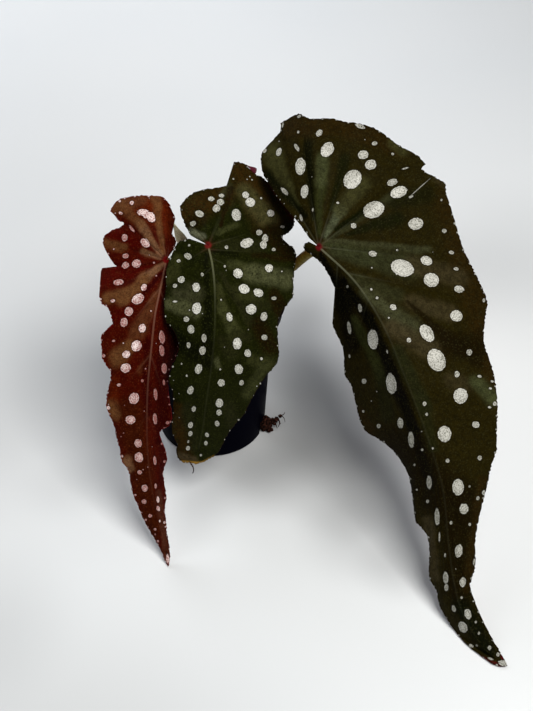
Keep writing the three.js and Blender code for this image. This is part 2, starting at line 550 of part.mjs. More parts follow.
// Roots: a lumpy clump and three root ends, cut clear of the pot and the soil
function rootsBody() {
  const ball = new THREE.IcosahedronGeometry(1, 2).deleteAttribute("normal").deleteAttribute("uv");
  const clump = mergeVertices(ball);
  const p = clump.getAttribute("position");
  for (let i = 0; i < p.count; i++) {
    const [x, y, z] = [p.getX(i), p.getY(i), p.getZ(i)];
    const lump = 1 + 0.16 * Math.sin(5 * x + 1) * Math.sin(4 * y) + 0.1 * Math.cos(6 * z + 3 * x);
    p.setXYZ(i, x * lump * CLUMP_SIZE[0], y * lump * CLUMP_SIZE[1], z * lump * CLUMP_SIZE[2]);
  }
  const angle = THREE.MathUtils.degToRad(SLOT_FIRST_ANGLE);
  clump.rotateZ(angle);
  clump.translate(CLUMP_CENTRE_RADIUS * Math.cos(angle), CLUMP_CENTRE_RADIUS * Math.sin(angle), CLUMP_HEIGHT);
  let roots = bodyOfGeometry(clump);
  for (const rows of ROOTS) roots = roots.add(stalk(rows, 6, 8));
  const low = BASE_RADIUS + ROOT_CLEARANCE;
  const high = WALL_TOP_RADIUS + ROOT_CLEARANCE;
  const inside = turned([[0, -1], [low, -1], [high, POT_HEIGHT], [0, POT_HEIGHT]], 2 * POT_SIDES);
  const mouthWidth = SLOT_WIDTH - 2 * ROOT_CLEARANCE;
  const mouth = new THREE.BoxGeometry(SLOT_DEPTH, mouthWidth, 2 * (SLOT_HEIGHT - ROOT_CLEARANCE));
  const mouthStart = BASE_RADIUS - WALL_THICKNESS + ROOT_CLEARANCE;
  mouth.translate(mouthStart + SLOT_DEPTH / 2, 0, 0);
  mouth.rotateZ(angle);
  roots = roots.subtract(inside.subtract(bodyOfGeometry(mouth)));
  const ground = new THREE.BoxGeometry(POT_HEIGHT, POT_HEIGHT, POT_HEIGHT);
  ground.translate(0, 0, FLOOR_GAP - POT_HEIGHT / 2);
  return roots.subtract(bodyOfGeometry(ground));
}

const plant = new THREE.Group();
plant.name = "potted_polka_dot_begonia";

function addPiece(name, body, colour, roughness) {
  const material = new THREE.MeshStandardMaterial({ color: colour, roughness, metalness: 0 });
  const mesh = new THREE.Mesh(geometryOf(body), material);
  mesh.name = name;
  plant.add(mesh);
}

const middleAxes = axesOf(MIDDLE_LEAF);
const threadRows = THREAD.map(([x, y], i) => {
  const p = placed(MIDDLE_LEAF, middleAxes, x, y, -0.4);
  return [p.x, p.y, p.z, THREAD_RADIUS * (1 - 0.08 * i)];
});

addPiece("pot", potBody(), 0x12141c, 0.5);
addPiece("soil", soilBody(), 0x2a1c12, 1);
addPiece("stem", stemBody(), 0x5b4a1e, 0.6);
addPiece("leaf_right", blade(RIGHT_LEAF), 0x262614, 0.45);
addPiece("leaf_middle", blade(MIDDLE_LEAF).add(stalk(threadRows, 8, 6)), 0x343819, 0.45);
addPiece("leaf_left", blade(LEFT_LEAF), 0x5a1d12, 0.45);
addPiece("stipule", stipuleBody(), 0xb7ae86, 0.8);
addPiece("roots", rootsBody(), 0x2b1c14, 1);

export default plant;
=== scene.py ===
"""Potted polka dot begonia: three spotted leaves on a short cane in a dark nursery pot.

Shapes are worked out with numpy in millimetres, in the frame of the part (Z up, the pot stands on
Z = 0 at the origin, the leaves hang over its front, towards -Y), and become meshes in metres.
"""

import math

import bpy
import numpy as np
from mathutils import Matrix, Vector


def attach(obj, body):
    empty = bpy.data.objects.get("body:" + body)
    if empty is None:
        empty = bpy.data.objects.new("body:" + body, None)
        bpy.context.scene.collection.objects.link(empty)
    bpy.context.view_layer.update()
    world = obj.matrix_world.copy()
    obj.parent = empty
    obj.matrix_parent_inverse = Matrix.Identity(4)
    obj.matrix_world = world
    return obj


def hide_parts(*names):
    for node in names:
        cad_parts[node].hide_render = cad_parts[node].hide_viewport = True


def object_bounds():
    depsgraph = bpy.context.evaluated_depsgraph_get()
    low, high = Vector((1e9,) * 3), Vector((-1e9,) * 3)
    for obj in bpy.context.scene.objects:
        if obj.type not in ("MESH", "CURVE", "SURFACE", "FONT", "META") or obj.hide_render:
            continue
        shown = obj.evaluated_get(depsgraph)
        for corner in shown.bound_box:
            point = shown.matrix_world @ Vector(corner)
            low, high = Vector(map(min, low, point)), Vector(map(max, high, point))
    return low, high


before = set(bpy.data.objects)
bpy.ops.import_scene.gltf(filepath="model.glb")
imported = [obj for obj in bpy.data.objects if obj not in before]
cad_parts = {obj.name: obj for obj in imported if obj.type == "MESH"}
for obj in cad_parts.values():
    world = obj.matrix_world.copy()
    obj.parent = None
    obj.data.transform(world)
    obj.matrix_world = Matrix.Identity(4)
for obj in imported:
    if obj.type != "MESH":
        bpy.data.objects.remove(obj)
cad_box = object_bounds()

MM = 0.001
NO_LENGTH = 1e-9
FAR_AWAY = 1e9
NO_VEIN_NEAR = 3.0
BOX_MARGIN = 0.05
BOX_LOW, BOX_HIGH = np.array(cad_box[0]) / MM + BOX_MARGIN, np.array(cad_box[1]) / MM - BOX_MARGIN

# Large numbers that stir the corners of the noise
NOISE_FACTORS = (73856093, 19349663, 83492791)
SEED_FACTOR = 2654435761
STIR_FACTOR = 1274126177
LARGEST = 0x7FFFFFFF

# The camera: where it stands, how far it looks down, and its lens on a sensor as high as the picture
EYE = np.array([31.3, -455.2, 447.3])
LOOK_DOWN = 41.17
FOCAL_PIXELS = 1100
PICTURE_HEIGHT_PIXELS = 711
SENSOR_HEIGHT = 36

# The pot
POT_HEIGHT = 90
BASE_RADIUS = 30
WALL_TOP_RADIUS = 35
COLLAR_HEIGHT = 9.4
COLLAR_LOW_RADIUS = 39.6
RIM_RADIUS = 41.6
WALL_THICKNESS = 1.3
FLOOR_THICKNESS = 1.8
FOOT_RADIUS = 1.6
RIM_ROLL_RADIUS = 1.15
SLOT_COUNT = 4
SLOT_HALF_ANGLE = 10.5
SLOT_HEIGHT = 9.5
SLOT_INNER_RADIUS = 23
SLOT_FIRST_ANGLE = -14
POT_SIDES = 240
POT_CREASE = 38

# The soil
SOIL_BOTTOM = 2.1
SOIL_TOP = 83
SOIL_RIPPLE = 1.4
SOIL_GRAIN = 0.9
SOIL_CROWN = 1.2
SOIL_CLEARANCE = 0.45
SOIL_RINGS = 60
SOIL_SIDES = 220
SOIL_CREASE = 60
CANE_HOLE_RADIUS = 5.4
CANE_HOLE_BOTTOM = 66
CANE_AXIS = (-3, 2)

# The blades
BLADE_MIDDLE_THICKNESS = 0.85
BLADE_EDGE_THICKNESS = 0.4
BLADE_ROWS = 54
ROW_CROWDING = 1.45
COLUMN_SPACING = 1.15
KNOT_STEP = 0.15
RIDGE_WIDTH = 2
RIDGE_SPREAD = 0.25
FLOOR_GAP = 0.35
LOWEST_UPPER_FACE = 1.25
VEIN_GROOVE = 0.28
VEIN_GROOVE_WIDTH = 0.75
MIDRIB_RIDGE = 0.32
MIDRIB_RIDGE_WIDTH = 0.6
MIDRIB_CLEARANCE = 0.8
UNDER_RIB = 0.75
UNDER_RIB_WIDTH = 0.8
LEAST_FACING = 0.4
NET_SPACING = 5.5
MARGIN_RIPPLE = 0.22
MARGIN_POINTS = 6000
DOT_SPACING = 6.4
DOT_SIZES = (0.16, 0.52)
DOT_STRETCH = (0.8, 1.3)
SPECK_COUNT = 26
SPECK_SIZES = (0.16, 0.34)

# The tones of the blades
STROKE_SHARPNESS = 4
PAINT_UNEVEN = 0.6
PAINT_CONTRAST = 1.2
LEAST_TONE = 0.0006
GREEN_SHARE = 4
OFF_SPOT = 9.0

# The stalks
CAD_BLADE_THICKNESS = 0.9
CANE_STEPS = 150
PETIOLE_STEPS = 130
PETIOLE_TIP_RADIUS = 1.5
PETIOLE_WAVE = 0.02
SCAR_PLACES = (21.5, 24.5, 40.5, 43.5)
SCAR_HEIGHT = 0.22
SCAR_WIDTH = 0.7
STALK_SIDES = 40
ACROSS_STALKS = (0.31, 0.94, -0.14)

# The stipule
STIPULE_BASE = np.array([-11.4, 1.1, 123.9])
STIPULE_POINT = np.array([-15.3, 2.6, 134.6])
STIPULE_HALF_WIDTH = 3.1
STIPULE_THICKNESS = 0.3

# The roots
LUMP_RINGS = 40
LUMP_POLE = 0.04
LUMP_SIDES = 48
FINE_ROOTS = 9

# The turned edges and the thread
TURNED_EDGE_THICKNESS = 0.35
THREAD_RADIUS = 0.36

# The floor
FLOOR_HALF_WIDTH = 4000
FLOOR_FRONT = -3000
FLOOR_LENGTH = 6200
FLOOR_BEND = 2200
FLOOR_RISE = 1200


def soft_step(low, high, value):
    """0 up to `low`, 1 from `high` on, and a smooth S between them."""
    t = np.clip((value - low) / (high - low), 0, 1)
    return t * t * (3 - 2 * t)


def bell(value, width):
    """1 at zero, falling away on both sides as a bell does: e to the minus square of value over width."""
    return np.exp(-((value / width) ** 2))


def through(keys, values, at):
    """A smooth curve through values at rising keys: cubics with the slopes of the neighbours."""
    keys = np.asarray(keys, float)
    values = np.asarray(values, float)
    slopes = np.gradient(values, keys)
    at = np.clip(at, keys[0], keys[-1])
    i = np.clip(np.searchsorted(keys, at, side="right") - 1, 0, len(keys) - 2)
    span = keys[i + 1] - keys[i]
    f = (at - keys[i]) / span
    start = (2 * f**3 - 3 * f**2 + 1) * values[i] + (f**3 - 2 * f**2 + f) * span * slopes[i]
    end = (3 * f**2 - 2 * f**3) * values[i + 1] + (f**3 - f**2) * span * slopes[i + 1]
    return start + end


def lattice_noise(points, size, seed):
    """Smooth noise from -1 to 1: a random value at each corner of a lattice of cubes, blended inside."""
    cell = points / size
    low = np.floor(cell).astype(np.int64)
    f = cell - low
    f = f * f * (3 - 2 * f)
    total = np.zeros(len(points))
    for corner in range(8):
        step = np.array([corner & 1, corner >> 1 & 1, corner >> 2 & 1])
        c = low + step
        x, y, z = (c * NOISE_FACTORS).T
        mixed = x ^ y ^ z ^ seed * SEED_FACTOR
        mixed = (mixed ^ mixed >> 13) * STIR_FACTOR & LARGEST
        weight = np.prod(np.where(step, f, 1 - f), axis=1)
        total += weight * (mixed / (LARGEST >> 1) - 1)
    return total


def unit(vectors):
    """The same directions at length one; a vector of no length stays as it is."""
    return vectors / np.maximum(np.linalg.norm(vectors, axis=-1, keepdims=True), NO_LENGTH)


def travelled(points):
    """How far along a line each of its points lies."""
    return np.concatenate([[0], np.cumsum(np.linalg.norm(np.diff(points, axis=0), axis=1))])


def round_angles(count):
    """Angles at even steps once round."""
    return np.linspace(0, 2 * np.pi, count, endpoint=False)


def facets(*corners):
    """Faces from the point numbers of their corners, one array for each corner."""
    return np.stack(np.broadcast_arrays(*corners), -1).reshape(-1, len(corners))


def in_scene(name, data):
    """An object in the scene that shows a mesh, a light or a camera."""
    obj = bpy.data.objects.new(name, data)
    bpy.context.scene.collection.objects.link(obj)
    return obj


def smooth_mesh(name, points, faces, materials):
    """A mesh from points in millimetres and triangles or quads."""
    mesh = bpy.data.meshes.new(name)
    mesh.from_pydata((points * MM).tolist(), [], [list(face) for face in faces])
    for material in materials:
        mesh.materials.append(material)
    mesh.polygons.foreach_set("use_smooth", np.ones(len(mesh.polygons), bool))
    return mesh


def piece(name, points, faces, materials, which=None, crease=50):
    """A piece that rides on the part; `which` picks each face's material."""
    mesh = smooth_mesh(name, points, faces, materials)
    if which is not None:
        mesh.polygons.foreach_set("material_index", np.asarray(which, np.int32))
    mesh.set_sharp_from_angle(angle=math.radians(crease))
    obj = in_scene(name, mesh)
    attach(obj, "root")
    return obj


def mark(obj, name, values, kind="FLOAT", domain="POINT"):
    """Keeps values on a mesh, under the name by which its material reads them."""
    field = {"FLOAT": "value", "FLOAT_COLOR": "color", "FLOAT_VECTOR": "vector"}[kind]
    layer = obj.data.attributes.new(name, kind, domain)
    layer.data.foreach_set(field, np.asarray(values, np.float32).ravel())


def wrapped(rings, columns):
    """Quads of a grid of `rings` rows whose columns close on themselves, facing out."""
    i, k = np.meshgrid(np.arange(rings - 1), np.arange(columns), indexing="ij")
    after = (k + 1) % columns
    return facets(i * columns + k, i * columns + after, (i + 1) * columns + after, (i + 1) * columns + k)


def capped(rings, columns):
    """The same quads, and a fan at each end round the two points that follow those of the rings."""
    k = np.arange(columns)
    after = (k + 1) % columns
    last = rings * columns
    low, high = facets(after, k, last), facets(last - columns + k, last - columns + after, last + 1)
    return wrapped(rings, columns).tolist() + low.tolist() + high.tolist()


def tube(path, radii, sides=STALK_SIDES):
    """A closed tube: a circle of changing radius carried square to a path, with a point at each end."""
    tangent = unit(np.gradient(path, axis=0))
    side = unit(np.cross(tangent, ACROSS_STALKS))
    other = np.cross(tangent, side)
    turn = round_angles(sides)[None, :, None]
    circle = np.cos(turn) * side[:, None] + np.sin(turn) * other[:, None]
    rings = path[:, None] + radii[:, None, None] * circle
    return np.concatenate([rings.reshape(-1, 3), path[:1], path[-1:]]), capped(len(path), sides)


def joined(*shapes):
    """Several closed shapes as one list of points and one list of faces."""
    points, faces, start = [], [], 0
    for shape_points, shape_faces in shapes:
        points.append(shape_points)
        faces += [[corner + start for corner in face] for face in shape_faces]
        start += len(shape_points)
    return np.concatenate(points), faces


def smooth_stalk(rows, steps):
    """A smooth path and radii through rows of x, y, z and radius."""
    rows = np.asarray(rows, float)
    along = travelled(rows[:, :3])
    at = np.linspace(0, along[-1], steps)
    values = np.stack([through(along, rows[:, k], at) for k in range(4)], -1)
    return values[:, :3], values[:, 3], at


def colour(code):
    """A colour as light, from its code of six digits as a screen shows it, by the curve of such screens."""
    levels = [int(code[i : i + 2], 16) / 255 for i in (0, 2, 4)]
    return (*[v / 12.92 if v <= 0.04045 else ((v + 0.055) / 1.055) ** 2.4 for v in levels], 1.0)


class Wire:
    """A shader socket that takes part in sums: an expression on wires adds its Math nodes."""

    def __init__(self, finish, socket):
        self.finish = finish
        self.socket = socket

    def _math(self, operation, first, second):
        return self.finish.node("ShaderNodeMath", {"operation": operation}, {0: first, 1: second})

    def __add__(self, other):
        return self._math("ADD", self, other)

    def __sub__(self, other):
        return self._math("SUBTRACT", self, other)

    def __mul__(self, other):
        return self._math("MULTIPLY", self, other)

    def __rsub__(self, other):
        return self._math("SUBTRACT", other, self)

    def __pow__(self, other):
        return self._math("POWER", self, other)

    __radd__ = __add__
    __rmul__ = __mul__

    def least(self, other):
        return self._math("MINIMUM", self, other)

    def step(self, low, high):
        """0 below `low`, 1 above `high`, smooth between."""
        inputs = {"Value": self, "From Min": low, "From Max": high}
        return self.finish.node("ShaderNodeMapRange", {"interpolation_type": "SMOOTHSTEP"}, inputs)


class Finish:
    """A material with a Principled BSDF, and short ways to add the nodes that feed it."""

    def __init__(self, name, roughness=0.5, **sockets):
        self.material = bpy.data.materials.new(name)
        self.material.use_nodes = True
        self.nodes = self.material.node_tree.nodes
        self.links = self.material.node_tree.links
        self.shader = self.nodes["Principled BSDF"]
        self.feed(Roughness=roughness, **sockets)

    def _set(self, socket, value):
        if isinstance(value, Wire):
            self.links.new(value.socket, socket)
        else:
            socket.default_value = colour(value) if isinstance(value, str) else value

    def node(self, kind, settings=None, inputs=None, output=0):
        """Adds a node, with its settings first and then its inputs, and gives one of its outputs."""
        made = self.nodes.new(kind)
        for key, value in (settings or {}).items():
            setattr(made, key, value)
        for key, value in (inputs or {}).items():
            self._set(made.inputs[key], value)
        return Wire(self, made.outputs[output])

    def feed(self, **sockets):
        """Sets or links sockets of the shader, in whose names a space is written as _."""
        for key, value in sockets.items():
            self._set(self.shader.inputs[key.replace("_", " ")], value)

    def place(self):
        """Where a point lies, in metres, in the frame of the part."""
        return self.node("ShaderNodeTexCoord", output="Object")

    def noise(self, size, detail=3.0, roughness=0.55):
        """Noise from 0 to 1 with lumps of about `size` millimetres."""
        inputs = {"Vector": self.place(), "Scale": 1 / (size * MM), "Detail": detail}
        return self.node("ShaderNodeTexNoise", None, {**inputs, "Roughness": roughness})

    def marked(self, name, output="Fac"):
        """What the mesh keeps under a name."""
        return self.node("ShaderNodeAttribute", {"attribute_name": name}, output=output)

    def parts(self, vector):
        """The three numbers of a vector or a colour."""
        split = self.node("ShaderNodeSeparateXYZ", None, {0: vector})
        return [Wire(self, out) for out in split.socket.node.outputs]

    def mix(self, factor, first, second):
        """Colour `first` where the factor is 0 and `second` where it is 1."""
        return self.node("ShaderNodeMix", {"data_type": "RGBA"}, {0: factor, 6: first, 7: second}, output=2)

    def bump(self, height, depth):
        """Relief of `depth` millimetres times the height."""
        inputs = {"Height": height, "Distance": depth * MM, "Strength": 1.0}
        self.feed(Normal=self.node("ShaderNodeBump", None, inputs))


def leaf_finish(name, tones):
    """The upper face of a blade: painted tones with soft bands along the veins and darker ground between
    them, partly painted sheen and painted shade, and silvery spots.
    """
    finish = Finish(name, Specular_IOR_Level=tones["gloss"])
    blotch = finish.noise(2.6, 4, 0.62)
    fine = finish.noise(0.55, 3)

    # The painted tones carry painted sheen and painted shade as well as the blade's own colour
    paint = finish.marked("paint", "Color")
    mottled = finish.mix(blotch.step(0.4, 0.64) * 0.42, paint, tones["deep"])
    pits = finish.noise(0.9, 1).step(0.6, 0.7) * tones["pits"]
    grainy = finish.mix((fine.step(0.4, 0.6) * 0.42 + pits).least(1), mottled, tones["deep"])
    near = 1 - finish.marked("outward").step(0.02, 0.6)
    # A pale line along the midrib and veins, partly their own colour and partly a painted highlight, fading
    # away from the joint
    rib_line = (1 - finish.marked("to_rib").step(0.2, 0.65)) * near
    vein_line = (1 - finish.marked("vein").step(0.15, 0.6)) * near
    line = (rib_line * tones["rib_strength"] + vein_line * tones["vein_strength"]).least(1)
    ribbed = finish.mix(line * finish.marked("rib_fade"), grainy, tones["rib"])
    flecked = finish.mix(finish.noise(0.7, 2, 0.6).step(0.54, 0.7) * 0.5, ribbed, tones["fleck"])
    dried = finish.mix((finish.marked("dry") * (0.6 + blotch)).least(1), flecked, "94702e")

    u, w, size = finish.parts(finish.marked("spot", "Vector"))
    gap = ((u * u + w * w) ** 0.5 - 1) * size
    ragged = (finish.noise(1.1, 3, 0.6) - 0.5) * (size * 0.6).least(1.0)
    edge = gap + ragged
    dimmed = finish.mix((1 - edge.step(0.0, 0.7)) * 0.5, dried, tones["deep"])
    ring = edge.step(-0.9, -0.62) * (1 - edge.step(-0.62, -0.36))
    grain = (finish.noise(0.6, 2, 0.7).step(0.48, 0.62) + 0.5 * ring).least(1)
    # Painted shade on the spots: they are painted duller where the painted tone under them is dark, and
    # small spots duller as well
    red, green, blue = finish.parts(paint)
    shaded = 1 - (red + GREEN_SHARE * green + blue).step(*tones["lit"])
    dull_and_shade = (1 - size.step(0.4, 2.6)) * 0.3 + shaded * tones["shade"]
    silver = finish.mix((grain * 0.84 + dull_and_shade).least(1), tones["spot"], tones["spot_grain"])
    spot_mask = 1 - edge.step(-0.14, 0.08)
    spotted = finish.mix(spot_mask * (0.84 + 0.24 * blotch), dimmed, silver)

    blushed = finish.mix(finish.marked("crimson"), spotted, tones["joint"])
    line = (1 - finish.marked("rim").step(0.1, 0.4)) * (1 - spot_mask)
    finish.feed(Base_Color=finish.mix(line * 0.7, blushed, tones["line"]))
    finish.feed(Roughness=0.42 + 0.16 * blotch + 0.12 * spot_mask)
    finish.bump(blotch * 0.5 + fine * 0.16 + finish.marked("net") * 0.35 - grain * spot_mask * 0.12, 0.3)
    return finish.material


def under_finish(name, ground, rib):
    """The under face of a blade: maroon, with paler veins that stand proud."""
    finish = Finish(name, roughness=0.5, Specular_IOR_Level=0.35)
    cloud = finish.noise(6.0, 3)
    near_vein = 1 - finish.marked("vein").step(0.3, 1.6)
    veined = finish.mix(near_vein * 0.55, ground, rib)
    finish.feed(Base_Color=finish.mix(cloud.step(0.45, 0.75) * 0.4, veined, "2a0a10"))
    finish.bump(finish.noise(1.1, 3) * 0.4 + cloud * 0.5, 0.4)
    return finish.material


def pot_finish():
    """Dark nursery plastic with a faint blue cast, fine grain and dusty scuffs."""
    finish = Finish("pot_plastic", Specular_IOR_Level=0.008)
    scuff = finish.noise(9.0, 5, 0.65).step(0.52, 0.8)
    dust = finish.noise(0.8, 3).step(0.55, 0.85)
    body = finish.mix(scuff * 0.4, "02020a", "080912")
    finish.feed(Base_Color=finish.mix(dust * 0.02, body, "3a3a42"))
    finish.feed(Roughness=0.42 + 0.2 * scuff + 0.1 * dust)
    finish.bump(finish.noise(0.35, 2) * 0.3 + scuff * 0.1, 0.1)
    return finish.material


def soil_finish():
    """Dark potting compost: crumbs of several browns with pale fibres."""
    finish = Finish("soil", roughness=0.95)
    crumb = finish.noise(2.4, 6, 0.7)
    speck = finish.noise(0.6, 3)
    dark = finish.mix(crumb.step(0.3, 0.7), "1c120c", "46301f")
    finish.feed(Base_Color=finish.mix(speck.step(0.62, 0.75) * 0.6, dark, "7a5f44"))
    finish.bump(crumb + 0.5 * speck, 1.2)
    return finish.material


def stalk_finish():
    """Stalks: olive brown above, greener on the side that looks down, with fine streaks along them."""
    finish = Finish("stem", roughness=0.48, Specular_IOR_Level=0.15)
    under = finish.marked("under_side")
    cloud = finish.noise(3.5, 4)
    brown = finish.mix(cloud.step(0.35, 0.7), "66460e", "452e08")
    green = finish.mix(cloud.step(0.3, 0.8), "746320", "584712")
    both = finish.mix(under.step(0.35, 0.75), brown, green)
    speck = finish.noise(0.7, 2).step(0.62, 0.72)
    finish.feed(Base_Color=finish.mix(speck * 0.5, both, "b8a878"))
    finish.bump(cloud * 0.4 + finish.noise(0.6, 3) * 0.2, 0.5)
    return finish.material


def paper_finish():
    """The stipule: thin and dry, pale beige green, with lines along it."""
    finish = Finish("stipule", roughness=0.75)
    lines = finish.noise(0.8, 3)
    finish.feed(Base_Color=finish.mix(lines.step(0.3, 0.7), "ddd6b2", "b9b189"))
    finish.bump(lines, 0.25)
    return finish.material


def root_finish():
    """Roots with soil on them."""
    finish = Finish("roots", roughness=0.9, Specular_IOR_Level=0.05)
    crumb = finish.noise(1.1, 5, 0.7)
    finish.feed(Base_Color=finish.mix(crumb.step(0.42, 0.64), "060302", "48291f"))
    finish.bump(crumb, 0.7)
    return finish.material


# The tones that strokes are painted in: greens and browns, then reds. The paler tones partly paint sheen, a
# painted highlight, and the darkest partly paint shade in furrows and folds
STROKE_TONES = {
    "black": "080501", "pine": "090b01", "night": "0f1203", "umber": "150e02", "bark": "251905",
    "moss": "1c1d0b", "olive": "282a12", "leaf": "2d3017", "dull_and_shade": "2e2f1c", "sheen": "373723",
    "khaki": "38361c", "fern": "3c3f26", "clay": "38301e", "pale": "444734", "wine": "2c0605",
    "crimson": "4a0c10", "maroon": "290200", "russet": "321203", "oxblood": "400602",
    "cocoa": "44261a", "brick": "4e1904", "rust": "502f1a", "tan": "5e4024", "sand": "6a4e36",
}

